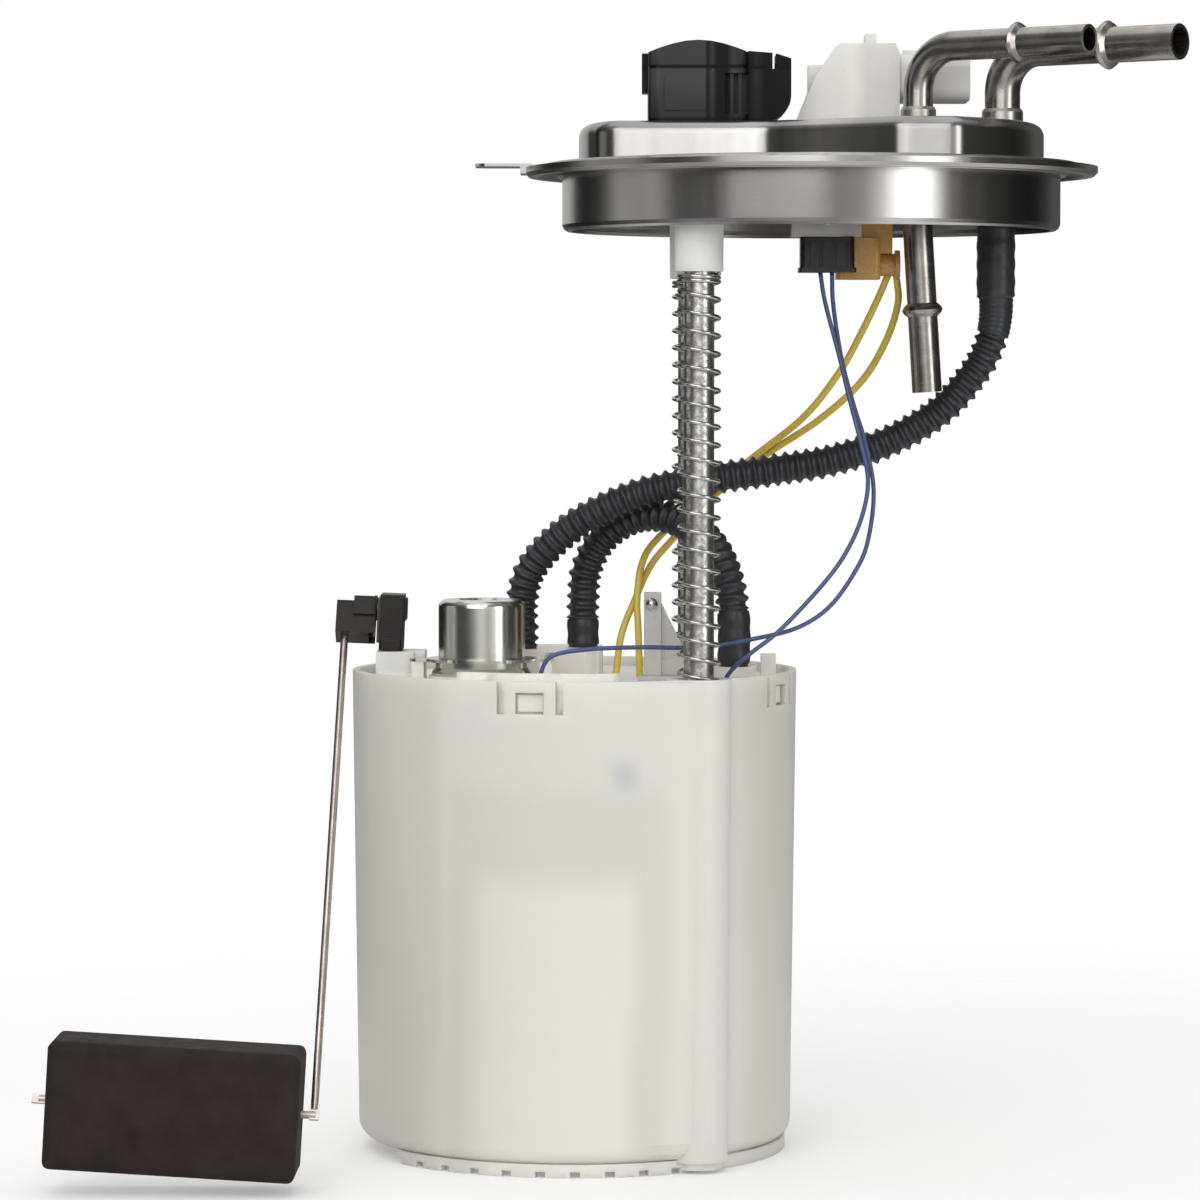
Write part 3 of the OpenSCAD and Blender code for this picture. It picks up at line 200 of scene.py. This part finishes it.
def noise(tree, scale, detail=4, rough=0.5):
    tex = tree.nodes.new("ShaderNodeTexNoise")
    tex.inputs["Scale"].default_value = 1
    tex.inputs["Detail"].default_value = detail
    tex.inputs["Roughness"].default_value = rough
    tree.links.new(coords(tree, scale), tex.inputs["Vector"])
    return tex.outputs["Fac"]


def ramp(tree, fac, stops):
    node = tree.nodes.new("ShaderNodeValToRGB")
    elements = node.color_ramp.elements
    while len(elements) < len(stops):
        elements.new(0.5)
    for element, (at, color) in zip(elements, stops):
        element.position = at
        element.color = (*color, 1) if isinstance(color, tuple) else (color, color, color, 1)
    tree.links.new(fac, node.inputs["Fac"])
    return node.outputs["Color"]


def bump(tree, shader, height, strength, distance, below=None):
    node = tree.nodes.new("ShaderNodeBump")
    node.inputs["Strength"].default_value = strength
    node.inputs["Distance"].default_value = distance
    tree.links.new(height, node.inputs["Height"])
    if below is not None:
        tree.links.new(below, node.inputs["Normal"])
    tree.links.new(node.outputs["Normal"], shader.inputs["Normal"])
    return node.outputs["Normal"]


def shade(color, factor):
    return tuple(min(1, c * factor) for c in color)


def mix_colors(tree, a, b, mode="MULTIPLY"):
    node = tree.nodes.new("ShaderNodeMixRGB")
    node.blend_type = mode
    node.inputs["Fac"].default_value = 1
    tree.links.new(a, node.inputs[1])
    tree.links.new(b, node.inputs[2])
    return node.outputs[0]


def across_piece(tree, axis, low, high, stops):
    """A ramp over object coordinates along one axis; low, high and the stops' places in millimetres."""
    where = tree.nodes.new("ShaderNodeTexCoord")
    parts = tree.nodes.new("ShaderNodeSeparateXYZ")
    tree.links.new(where.outputs["Object"], parts.inputs[0])
    place = tree.nodes.new("ShaderNodeMapRange")
    place.inputs["From Min"].default_value = low * MM
    place.inputs["From Max"].default_value = high * MM
    tree.links.new(parts.outputs[axis], place.inputs["Value"])
    return ramp(tree, place.outputs["Result"], [((at - low) / (high - low), tone) for at, tone in stops])


def varied(name, color, rough, metal=0.0, spread=0.08, scale=180, rough_spread=0.06, grain=900,
           grain_depth=0.00001, spec=0.5, coat=0.0, subsurface=0.0, transmission=0.0, ior=1.5, painted_light_tones=None):
    """A material whose colour and gloss drift, with a fine grain, and, when given, painted highlight and
    shade along X.
    """
    material, tree, shader = node_tree(name)
    shader.inputs["Metallic"].default_value = metal
    shader.inputs["Specular IOR Level"].default_value = spec
    shader.inputs["IOR"].default_value = ior
    shader.inputs["Coat Weight"].default_value = coat
    shader.inputs["Transmission Weight"].default_value = transmission
    if subsurface:
        shader.inputs["Subsurface Weight"].default_value = subsurface
        shader.inputs["Subsurface Radius"].default_value = (1, 0.95, 0.85)
        shader.inputs["Subsurface Scale"].default_value = 0.004
    drift = noise(tree, scale)
    look = ramp(tree, drift, [(0.3, shade(color, 1 - spread)), (0.7, shade(color, 1 + spread))])
    # Painted highlight and shade: lighter and darker bands along X
    if painted_light_tones:
        look = mix_colors(tree, look, across_piece(tree, "X", painted_light_tones[0][0], painted_light_tones[-1][0], painted_light_tones))
    tree.links.new(look, shader.inputs["Base Color"])
    gloss = noise(tree, scale * 2.3)
    tree.links.new(ramp(tree, gloss, [(0.3, rough - rough_spread), (0.7, rough + rough_spread)]),
                   shader.inputs["Roughness"])
    bump(tree, shader, noise(tree, grain, 6, 0.6), 0.35, grain_depth)
    return material


def sheet_steel(name, painted_light_tones=((0, 1), (1, 1))):
    """Drawn stainless: draw lines down the wall, a soft cloudy sheen, fine scratches, and painted reflection
    and shade along X.
    """
    material, tree, shader = node_tree(name)
    shader.inputs["Metallic"].default_value = 1
    cloud = ramp(tree, noise(tree, 45, 5, 0.6), [(0.3, (0.58, 0.57, 0.55)), (0.72, (0.67, 0.66, 0.64))])
    # Painted reflection and shade: the base colour is lightened and darkened along X by the given ramp
    tree.links.new(mix_colors(tree, cloud, across_piece(tree, "X", -80, 80, painted_light_tones)),
                   shader.inputs["Base Color"])
    streak = noise(tree, (260, 260, 12), 2, 0.5)
    tree.links.new(ramp(tree, streak, [(0.3, 0.22), (0.7, 0.26)]), shader.inputs["Roughness"])
    lines = bump(tree, shader, streak, 0.012, 0.00006)
    bump(tree, shader, noise(tree, (60, 60, 900), 5, 0.6), 0.1, 0.00003, lines)
    return material


def round_steel(name, color, rough=0.22, lines=2200, depth=0.3):
    """Turned or drawn round stock with fine rings across it."""
    material, tree, shader = node_tree(name)
    shader.inputs["Metallic"].default_value = 1
    cloud = noise(tree, 220, 4)
    tree.links.new(ramp(tree, cloud, [(0.3, shade(color, 0.8)), (0.7, shade(color, 1.12))]),
                   shader.inputs["Base Color"])
    rings = noise(tree, (60, 60, lines), 4, 0.6)
    tree.links.new(ramp(tree, rings, [(0.3, rough - 0.06), (0.7, rough + 0.1)]), shader.inputs["Roughness"])
    bump(tree, shader, rings, depth, 0.00003)
    return material


def speckled(name):
    """Zinc-plated rod: small bright and dark crystals."""
    material, tree, shader = node_tree(name)
    shader.inputs["Metallic"].default_value = 1
    grains = noise(tree, 620, 3, 0.7)
    tree.links.new(ramp(tree, grains, [(0.38, (0.34, 0.335, 0.31)), (0.5, (0.52, 0.515, 0.49)),
                                       (0.62, (0.86, 0.85, 0.82))]), shader.inputs["Base Color"])
    tree.links.new(ramp(tree, grains, [(0.35, 0.42), (0.65, 0.24)]), shader.inputs["Roughness"])
    bump(tree, shader, grains, 0.3, 0.00005)
    return material


def milky(name):
    """Milky moulded plastic. The pale block and the darker areas are painted light and shade that stand in
    for what stands behind the wall.
    """
    material, tree, shader = node_tree(name)
    shader.inputs["Roughness"].default_value = 0.42
    shader.inputs["Transmission Weight"].default_value = 0.12
    shader.inputs["IOR"].default_value = 1.4
    shader.inputs["Subsurface Weight"].default_value = 0.5
    shader.inputs["Subsurface Radius"].default_value = (1, 0.96, 0.88)
    shader.inputs["Subsurface Scale"].default_value = 0.005
    where = tree.nodes.new("ShaderNodeTexCoord")
    drift = tree.nodes.new("ShaderNodeTexNoise")
    drift.inputs["Scale"].default_value = 22
    drift.inputs["Detail"].default_value = 3
    tree.links.new(where.outputs["Object"], drift.inputs["Vector"])
    bend = tree.nodes.new("ShaderNodeMixRGB")
    bend.blend_type = "LINEAR_LIGHT"
    bend.inputs["Fac"].default_value = 0.004
    tree.links.new(where.outputs["Object"], bend.inputs[1])
    tree.links.new(drift.outputs["Color"], bend.inputs[2])
    parts = tree.nodes.new("ShaderNodeSeparateXYZ")
    tree.links.new(bend.outputs[0], parts.inputs[0])

    def step(axis, low, high):
        node = tree.nodes.new("ShaderNodeMapRange")
        node.interpolation_type = "SMOOTHSTEP"
        node.inputs["From Min"].default_value = low * MM
        node.inputs["From Max"].default_value = high * MM
        tree.links.new(parts.outputs[axis], node.inputs["Value"])
        return node.outputs["Result"]

    def times(*factors):
        out = factors[0]
        for factor in factors[1:]:
            node = tree.nodes.new("ShaderNodeMath")
            node.operation = "MULTIPLY"
            tree.links.new(out, node.inputs[0])
            tree.links.new(factor, node.inputs[1])
            out = node.outputs[0]
        return out

    def over(below, color, fac):
        node = tree.nodes.new("ShaderNodeMixRGB")
        tree.links.new(fac, node.inputs["Fac"])
        if isinstance(below, tuple):
            node.inputs[1].default_value = (*below, 1)
        else:
            tree.links.new(below, node.inputs[1])
        node.inputs[2].default_value = (*color, 1)
        return node.outputs[0]

    # Painted shade: the wall darker at its left edge and towards the right
    look = over((0.77, 0.755, 0.71), (0.70, 0.68, 0.625), step("X", -97, -102))
    look = over(look, (0.67, 0.65, 0.6), step("X", -24, -14))

    # Painted light and shade zones on the front: their colour, where they fade in downwards, and where they
    # fade in and out along X
    front = step("Y", -10, -34)
    painted_light_zones = (((0.72, 0.705, 0.66), -154, -166, -100, -94, -36, -42),
             ((0.84, 0.805, 0.74), -178, -190, -94, -84, -44, -52))
    for color, above, below, left, left_in, right_in, right in painted_light_zones:
        look = over(look, color, times(front, step("Z", above, below), step("X", left, left_in),
                                       step("X", right_in, right)))

    # The dark spot
    look = over(look, (0.6, 0.61, 0.59), times(front, step("X", -56, -50), step("X", -44, -50),
                                               step("Z", -150, -156), step("Z", -163, -156)))
    tree.links.new(look, shader.inputs["Base Color"])
    bump(tree, shader, noise(tree, (30, 30, 5), 3, 0.5), 0.12, 0.0004)
    return material


def sensor_black(name):
    """Black moulding: grey faces of painted highlight between dark folds of painted shade, painted shade
    towards the foot, and the seam under the cap.
    """
    material, tree, shader = node_tree(name)
    shader.inputs["Roughness"].default_value = 0.38
    shader.inputs["Specular IOR Level"].default_value = 0.14
    # Painted highlight and shade: grey faces that catch the light, between dark folds
    painted_highlight_panels = across_piece(tree, "X", -48, -4, [
        (-48, 0.006), (-44, 0.006), (-43, 0.05), (-29, 0.055), (-28.3, 0.004), (-27, 0.045),
        (-26, 0.004), (-23, 0.004), (-21.6, 0.045), (-18.8, 0.03), (-17.7, 0.002), (-15, 0.02),
        (-13.2, 0.003), (-4, 0.005)])
    seam = across_piece(tree, "Z", 27.5, 29.5, [(27.9, 1), (28.2, 0.04), (28.8, 0.04), (29.2, 0.8)])
    # Painted shade: the sensor darker towards the bottom
    foot = across_piece(tree, "Z", 13, 29, [(14.6, 0.05), (15.4, 0.55), (25, 1)])
    tree.links.new(mix_colors(tree, mix_colors(tree, painted_highlight_panels, seam), foot), shader.inputs["Base Color"])
    bump(tree, shader, noise(tree, 1200, 4, 0.6), 0.3, 0.00001)
    return material


MATERIALS = {
    "stainless": sheet_steel("stainless"),
    # Painted reflection and shade: the ramps along X lighten and darken the collar, the deck and the brim
    "collar_steel": sheet_steel("collar_steel", (
        (-62, 0.7), (-48, 1), (-34, 0.95), (-20, 0.55), (-4, 0.42), (4, 0.38), (11, 0.6), (17, 1),
        (36, 1), (44, 0.7), (52, 0.3), (66, 0.4))),
    "deck_steel": sheet_steel("deck_steel", (
        (-62, 0.5), (-54, 0.56), (-34, 0.62), (-16, 0.72), (-9, 0.5), (0, 0.9), (12, 0.6), (22, 0.5),
        (36, 0.62), (50, 0.55), (66, 0.4))),
    "brim_steel": sheet_steel("brim_steel", ((-80, 0.62), (-60, 0.75), (70, 0.75))),
    "stainless_tube": round_steel("stainless_tube", (0.42, 0.395, 0.37), 0.24, 120, 0.06),
    "braze": round_steel("braze", (0.5, 0.48, 0.44), 0.34, 700),
    "rod_steel": speckled("rod_steel"),
    "sensor_black": sensor_black("sensor_black"),
    "arm_steel": round_steel("arm_steel", (0.55, 0.5, 0.46), 0.3, 90, 0.05),
    "spring_steel": round_steel("spring_steel", (0.62, 0.61, 0.58), 0.22, 400),
    "zinc": varied("zinc", (0.66, 0.66, 0.61), 0.2, metal=1, spread=0.04, scale=60, rough_spread=0.03,
                   grain=500, grain_depth=0.000008),
    "nylon": varied("nylon", (0.72, 0.72, 0.69), 0.42, subsurface=0.35, spread=0.02),
    # Painted highlight and shade: soft lighter and darker bands along X on the white plastic
    "white_plastic": varied(
        "white_plastic", (0.77, 0.755, 0.72), 0.32, subsurface=0.2, spread=0.02, spec=0.35,
        painted_light_tones=((-8, 0.86), (0, 0.93), (8, 0.95), (11, 1), (15, 0.86), (20, 0.94), (26, 0.88), (40, 0.88))),
    "milky_acetal": milky("milky_acetal"),
    "cover_acetal": varied("cover_acetal", (0.78, 0.75, 0.7), 0.4, spread=0.03, subsurface=0.3),
    "clear_plastic": varied("clear_plastic", (0.82, 0.81, 0.78), 0.22, spread=0.03, transmission=0.6),
    "black_plastic": varied("black_plastic", (0.011, 0.0105, 0.0105), 0.36, spread=0.25, grain=1500),
    "brown_plastic": varied("brown_plastic", (0.014, 0.01, 0.009), 0.42, spread=0.2, grain=1500, spec=0.35),
    "amber_plastic": varied("amber_plastic", (0.66, 0.37, 0.1), 0.28, spread=0.1, scale=90, transmission=0.3),
    "float_foam": varied("float_foam", (0.02, 0.0135, 0.0115), 0.7, spread=0.2, scale=120,
                         grain=1400, grain_depth=0.00012, spec=0.25),
    "hose_black": varied("hose_black", (0.027, 0.028, 0.031), 0.4, spread=0.2, grain=1800),
    "rubber": varied("rubber", (0.03, 0.03, 0.03), 0.6, spread=0.2),
    "strainer_felt": varied("strainer_felt", (0.78, 0.78, 0.76), 0.85, spread=0.06, grain=2400,
                            grain_depth=0.0001),
    "magnet": varied("magnet", (0.12, 0.12, 0.125), 0.5, metal=0.6, spread=0.2),
    "terminal_brass": varied("terminal_brass", (0.66, 0.52, 0.26), 0.28, metal=1, spread=0.1),
    "ceramic": varied("ceramic", (0.05, 0.042, 0.038), 0.3, spread=0.06),
    "wire_blue": varied("wire_blue", (0.06, 0.082, 0.19), 0.3, spread=0.1, grain=200),
    "wire_yellow": varied("wire_yellow", (0.66, 0.49, 0.07), 0.3, spread=0.08, grain=200),
}


def set_material(obj, name):
    obj.data.materials.clear()
    obj.data.materials.append(MATERIALS[name])


# Width of the rounded edges of the CAD pieces, in millimetres
EDGES = {
    "sensor_body": 0.5, "sensor_cap": 0.4, "power_connector": 0.5, "connector_base": 0.4,
    "sender_plug": 0.25, "pump_plug": 0.35, "reservoir_cup": 0.3, "reservoir_cover": 0.3,
    "sender_bracket": 0.3, "retainer_post": 0.3, "sender_housing": 0.5, "sender_rotor": 0.5,
    "rod_bosses": 0.3}


def round_edges(obj, width):
    weld = obj.modifiers.new("weld", "WELD")
    weld.merge_threshold = 0.002 * MM
    bevel = obj.modifiers.new("edges", "BEVEL")
    bevel.width = width * MM
    bevel.segments = 2
    bevel.limit_method = "ANGLE"
    bevel.angle_limit = math.radians(32)
    bevel.miter_outer = "MITER_ARC"
    bevel.harden_normals = True


# Pieces that look different from the rest of their slot
LOOKS = {
    "float_arm": "arm_steel", "collar_ring": "collar_steel", "brim_plate": "brim_steel",
    "sensor_body": "sensor_black", "sensor_cap": "sensor_black"}


def dress_nodes():
    """Every CAD node gets the material of its slot, and the shown ones rounded edges."""
    for part in frame["record"]["subparts"]:
        obj = NODES[part["node"]]
        if part["node"] in EDGES:
            round_edges(obj, EDGES[part["node"]])
        look = LOOKS.get(part["node"], part["material_slot"])
        for slot in obj.material_slots:
            slot.material = MATERIALS[look]


# Hoses: radii of the ribs, the neck and the sleeve, and lengths along the hose, in millimetres.
CREST = 4.6
VALLEY = 3.5
PITCH = 2.95
NECK = 4.6
NECK_LEN = 10
NECK_PITCH = 1.3
NECK_TAPER = 0.25
NECK_RIB = 0.08
SLEEVE = 5.15
SLEEVE_LEN = 20
LIP_DEPTH = 0.4
END_LIP = 0.7
INNER_LIP = 0.4
RIPPLE = 0.1


def corrugated(name, points, first, first_r, last, last_r, neck=0.0):
    """A ribbed hose with a plain sleeve of a length and radius at each end, and a fine-ribbed neck."""
    line, total = smooth_line(points, 0.3)
    count = len(line)
    spacing = total / (count - 1)

    def radius(i):
        s = i * spacing
        for plain, r, at in ((first, first_r, s), (last, last_r, total - s)):
            if at < plain:
                lip = LIP_DEPTH if at < END_LIP or plain - at < INNER_LIP else 0
                return r + RIPPLE * math.sin(s * 1.3) - lip
        if s < first + neck:
            return NECK - NECK_TAPER * (s - first) / neck + NECK_RIB * math.cos(2 * math.pi * s / NECK_PITCH)
        wave = 0.5 + 0.5 * math.cos(2 * math.pi * (s - first) / PITCH)
        return VALLEY + (CREST - VALLEY) * wave ** 1.6

    obj = skin(name, tube_rings(line, radius, 28))
    set_material(obj, "hose_black")
    return obj, [p * MM for p in line[::4] + [line[-1]]]


def make_hoses():
    hose, path = corrugated("supply_hose_corrugated", SUPPLY_ROUTE, SLEEVE_LEN, SLEEVE, 1.5, 4.3, NECK_LEN)
    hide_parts("supply_hose")
    route_length(SUPPLY_ROUTE)
    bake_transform(hose)
    jet, path = corrugated("jet_hose_corrugated", JET_ROUTE, 8, 4.3, 15, 4.35)
    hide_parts("jet_hose")
    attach(jet, "reservoir")
    route_length(JET_ROUTE)


def make_wires():
    for color, radius, routes in (("wire_blue", 0.6, BLUE_ROUTES), ("wire_yellow", 0.95, YELLOW_ROUTES)):
        for k, route in enumerate(routes):
            line, total = smooth_line(route, 1.2)
            wire = skin(f"{color}_{k + 1}", tube_rings(line, lambda i: radius, 12))
            set_material(wire, color)
            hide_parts(color)
            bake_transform(wire)


# Springs round the guide rods: the rods' places, the coil's and the wire's radii, the two ends, and the
# turns, of which the dead ones at both ends lie close
ROD_X = -31
ROD_Y = 45
SPRING_R = 5.3
WIRE_R = 0.5
SPRING_TOP = -26.8
SPRING_SEAT = -140
SPRING_TURNS = 27
DEAD_TURNS = 2
DEAD_PITCH = 1.05


def make_springs():
    per_turn = 24
    count = SPRING_TURNS * per_turn
    tight = DEAD_TURNS * per_turn
    dead = DEAD_TURNS * DEAD_PITCH
    height = SPRING_TOP - SPRING_SEAT
    for name, y in (("spring_front", -ROD_Y), ("spring_rear", ROD_Y)):
        line = []
        for i in range(count + 1):
            a = 2 * math.pi * i / per_turn
            if i < tight:
                fall = dead * i / tight
            elif i > count - tight:
                fall = height - dead * (count - i) / tight
            else:
                fall = dead + (height - 2 * dead) * (i - tight) / (count - 2 * tight)
            line.append(Vector((ROD_X + SPRING_R * math.cos(a), y + SPRING_R * math.sin(a),
                                SPRING_TOP - fall)))
        spring = skin(name + "_coil", tube_rings(line, lambda i: WIRE_R, 10))
        set_material(spring, "spring_steel")
        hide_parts(name)
        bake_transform(spring)


# The regulator's spring: its centre on the regulator's seat, and its ends and radii above that
REG_AT = Vector((-88.3, -20, -129.3))
REG_LOW = Vector((0, 0, 3.45))
REG_HIGH = Vector((0, 0, 14))
REG_R = 7
REG_WIRE_R = 0.6


def make_regulator_spring():
    """The regulator's spring, six turns between its low and high ends."""
    per_turn = 20
    count = 6 * per_turn
    line = []
    for i in range(count + 1):
        a = -2 * math.pi * i / per_turn
        line.append(REG_AT + REG_LOW.lerp(REG_HIGH, i / count)
                    + Vector((REG_R * math.cos(a), REG_R * math.sin(a), 0)))
    coil = skin("regulator_coil", tube_rings(line, lambda i: REG_WIRE_R, 8))
    set_material(coil, "spring_steel")
    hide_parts("regulator_spring")
    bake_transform(coil)


# The flange sheet: deck, brim and bead pressed from one plate. The flat front wall lies at FRONT_Y and ends
# at FRONT_END, from where the diagonal wall runs to DIAGONAL_END.
DECK_R = 62.5
DECK_H = 14
PLATE_T = 1.5
BRIM_R = 77
FRONT_Y = -28
FRONT_END = (-13.7, FRONT_Y)
DIAGONAL_END = (20.9, -51)
EDGE_R = 3.5
FOOT_R = 1.2
CAP_INSET = 4.6
BEAD_IN = 68.5
BEAD_W = 5
BEAD_H = 2
OVER_PLATE = 0.06
INTO_PLATE = 0.6


def arc(center, radius, start, end, count):
    return [(center[0] + radius * math.cos(start + (end - start) * i / count),
             center[1] + radius * math.sin(start + (end - start) * i / count)) for i in range(count + 1)]


def rounded(a, b, c, radius, count):
    """The corner at b, between a and c, as an arc."""
    u = (Vector(a) - Vector(b)).normalized()
    v = (Vector(c) - Vector(b)).normalized()
    half = math.acos(max(-1, min(1, u.dot(v)))) / 2
    o = Vector(b) + (u + v).normalized() * radius / math.sin(half)
    s = Vector(b) + u * radius / math.tan(half) - o
    e = Vector(b) + v * radius / math.tan(half) - o
    start = math.atan2(s.y, s.x)
    sweep = (math.atan2(e.y, e.x) - start + math.pi) % (2 * math.pi) - math.pi
    return arc(o, radius, start, start + sweep, count)


def along(a, b, count):
    return [(a[0] + (b[0] - a[0]) * i / count, a[1] + (b[1] - a[1]) * i / count) for i in range(1, count)]


def deck_outline():
    """The deck seen from above: the round back, the front wall and the diagonal wall, with round corners."""
    side_y = DIAGONAL_END[1]
    front_left = (-math.sqrt(DECK_R ** 2 - FRONT_Y ** 2), FRONT_Y)
    front_right = (math.sqrt(DECK_R ** 2 - side_y ** 2), side_y)
    start = math.atan2(front_right[1], front_right[0]) + math.radians(8)
    end = math.atan2(front_left[1], front_left[0]) - math.radians(10) + 2 * math.pi
    first = (DECK_R * math.cos(start), DECK_R * math.sin(start))
    last = (DECK_R * math.cos(end), DECK_R * math.sin(end))
    corners = [rounded(last, front_left, FRONT_END, 8, 12),
               rounded(front_left, FRONT_END, DIAGONAL_END, 10, 10),
               rounded(FRONT_END, DIAGONAL_END, front_right, 8, 10),
               rounded(DIAGONAL_END, front_right, first, 7, 8)]
    points = arc((0, 0), DECK_R, start, end, 120)
    for corner in corners:
        points += along(points[-1], corner[0], 6) + corner
    points += along(points[-1], points[0], 3)
    out = []
    for q in points:
        if not out or math.dist(q, out[-1]) > 0.15:
            out.append(q)
    return out


def inset(points, d):
    """The outline moved inwards by a distance."""
    out = []
    n = len(points)
    for i, q in enumerate(points):
        a, b = points[i - 1], points[(i + 1) % n]
        length = math.dist(a, b)
        out.append((q[0] - d * (b[1] - a[1]) / length, q[1] + d * (b[0] - a[0]) / length))
    return out


def make_flange_sheet():
    outline = deck_outline()
    angles = [math.atan2(y, x) for x, y in outline]

    def skin_rings(lower):
        """Rings over one side of the sheet. Its brim lies just over the CAD's brim plate, or inside it."""
        edge, foot = EDGE_R - lower, FOOT_R + lower
        top = DECK_H - lower
        base = PLATE_T - INTO_PLATE if lower else PLATE_T + OVER_PLATE
        rings = [[(x, y, top) for x, y in inset(outline, CAP_INSET)]]
        for k in range(9):
            a = math.radians(90 - 90 * k / 8)
            rings.append([(x, y, top - edge + edge * math.sin(a))
                          for x, y in inset(outline, lower + edge * (1 - math.cos(a)))])
        for k in range(7):
            a = math.radians(90 * k / 6)
            rings.append([(x, y, base + foot - foot * math.sin(a))
                          for x, y in inset(outline, lower - foot * (1 - math.cos(a)) * 0.8)])
        profile = [(BEAD_IN - 0.9, base)]
        profile += [(BEAD_IN + BEAD_W * i / 10, base + BEAD_H * math.sin(math.pi * i / 10))
                    for i in range(11)]
        profile += [(BEAD_IN + BEAD_W + 0.7, base), (BRIM_R - 2, base), (BRIM_R - 1, base + 0.6),
                    (BRIM_R - 0.2, base + 0.9)]
        for r, z in profile:
            rings.append([(r * math.cos(a), r * math.sin(a), z) for a in angles])
        return [[Vector(v) for v in ring] for ring in rings]

    sheet = skin("flange_sheet", skin_rings(PLATE_T) + skin_rings(0)[::-1])
    set_material(sheet, "deck_steel")
    sharp = sheet.modifiers.new("edges", "EDGE_SPLIT")
    sharp.split_angle = math.radians(50)
    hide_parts("deck_pan")
    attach(sheet, "flange")


# Floor and light
def add_floor():
    """A pale floor that fades into the white round it and can't be seen from below."""
    size = 3
    fade_from, fade_to = 0.2, 0.55
    floor = mesh_object("floor", [(-size, -size, FLOOR_Z), (size, -size, FLOOR_Z), (size, size, FLOOR_Z),
                                  (-size, size, FLOOR_Z)], [(0, 1, 2, 3)])
    material, tree, shader = node_tree("floor")
    shader.inputs["Base Color"].default_value = (0.93, 0.93, 0.93, 1)
    shader.inputs["Roughness"].default_value = 0.9
    shader.inputs["Specular IOR Level"].default_value = 0.1
    where = tree.nodes.new("ShaderNodeTexCoord")
    length = tree.nodes.new("ShaderNodeVectorMath")
    length.operation = "LENGTH"
    tree.links.new(where.outputs["Object"], length.inputs[0])
    fade = tree.nodes.new("ShaderNodeMapRange")
    fade.inputs["From Min"].default_value = fade_from
    fade.inputs["From Max"].default_value = fade_to
    tree.links.new(length.outputs["Value"], fade.inputs["Value"])
    side = tree.nodes.new("ShaderNodeNewGeometry")
    hidden = tree.nodes.new("ShaderNodeMath")
    hidden.operation = "MAXIMUM"
    tree.links.new(fade.outputs["Result"], hidden.inputs[0])
    tree.links.new(side.outputs["Backfacing"], hidden.inputs[1])
    clear = tree.nodes.new("ShaderNodeBsdfTransparent")
    mix = tree.nodes.new("ShaderNodeMixShader")
    tree.links.new(hidden.outputs["Value"], mix.inputs["Fac"])
    tree.links.new(shader.outputs[0], mix.inputs[1])
    tree.links.new(clear.outputs[0], mix.inputs[2])
    tree.links.new(mix.outputs[0], tree.nodes["Material Output"].inputs["Surface"])
    floor.data.materials.append(material)


def area_light(name, where, at, size, power, size_y=None):
    data = bpy.data.lights.new(name, "AREA")
    data.shape = "RECTANGLE"
    data.size = size
    data.size_y = size_y or size
    data.energy = power
    lamp = bpy.data.objects.new(name, data)
    bpy.context.scene.collection.objects.link(lamp)
    lamp.location = where
    lamp.rotation_euler = (Vector(at) - Vector(where)).to_track_quat("-Z", "Y").to_euler()


def add_world():
    """White to the camera, even to diffuse rays, and a studio with dark sides in reflections."""
    world = bpy.data.worlds.new("studio")
    bpy.context.scene.world = world
    world.use_nodes = True
    tree = world.node_tree
    even = tree.nodes["Background"]
    even.inputs["Color"].default_value = (1, 1, 1, 1)
    even.inputs["Strength"].default_value = 0.6
    white = tree.nodes.new("ShaderNodeBackground")
    white.inputs["Color"].default_value = (1, 1, 1, 1)
    studio = tree.nodes.new("ShaderNodeBackground")
    where = tree.nodes.new("ShaderNodeTexCoord")
    parts = tree.nodes.new("ShaderNodeSeparateXYZ")
    tree.links.new(where.outputs["Generated"], parts.inputs[0])
    side = tree.nodes.new("ShaderNodeMapRange")
    side.inputs["From Min"].default_value = -1
    tree.links.new(parts.outputs["X"], side.inputs["Value"])
    across = ramp(tree, side.outputs["Result"], [
        (0, 0.3), (0.012, 0.5), (0.035, 0.06), (0.22, 0.05), (0.34, 0.28), (0.46, 0.72), (0.54, 0.75),
        (0.66, 0.5), (0.79, 0.9), (0.88, 0.3), (0.93, 0.02), (1, 0.05)])
    up = ramp(tree, parts.outputs["Z"], [(0, 0), (0.35, 0.02), (0.65, 0.2), (1, 0.4)])
    low = ramp(tree, parts.outputs["Z"], [(0, 1), (0.3, 1), (0.5, 0.12), (1, 0.08)])
    behind = ramp(tree, parts.outputs["Y"], [(0.2, 1), (0.6, 0.2)])
    front = mix_colors(tree, mix_colors(tree, across, low), behind)
    tree.links.new(mix_colors(tree, front, up, "LIGHTEN"), studio.inputs["Color"])
    path = tree.nodes.new("ShaderNodeLightPath")
    glossy = tree.nodes.new("ShaderNodeMixShader")
    camera = tree.nodes.new("ShaderNodeMixShader")
    tree.links.new(path.outputs["Is Glossy Ray"], glossy.inputs["Fac"])
    tree.links.new(even.outputs[0], glossy.inputs[1])
    tree.links.new(studio.outputs[0], glossy.inputs[2])
    tree.links.new(path.outputs["Is Camera Ray"], camera.inputs["Fac"])
    tree.links.new(glossy.outputs[0], camera.inputs[1])
    tree.links.new(white.outputs[0], camera.inputs[2])
    tree.links.new(camera.outputs[0], tree.nodes["World Output"].inputs["Surface"])


def add_lights():
    middle = (-0.05, 0, -0.13)
    area_light("key", (-0.35, -1.1, 0.55), middle, 1.1, 8)
    area_light("fill", (0.8, -0.8, 0.1), middle, 0.35, 2.5, size_y=0.9)
    area_light("top", (0, 0.05, 0.9), middle, 1.2, 3)
    area_light("back", (-0.3, 1.1, 0.5), middle, 1.2, 3)


add_camera()
make_hoses()
make_wires()
make_springs()
make_regulator_spring()
make_flange_sheet()
dress_nodes()
add_floor()
add_world()
add_lights()
bpy.context.scene.view_settings.view_transform = "Standard"
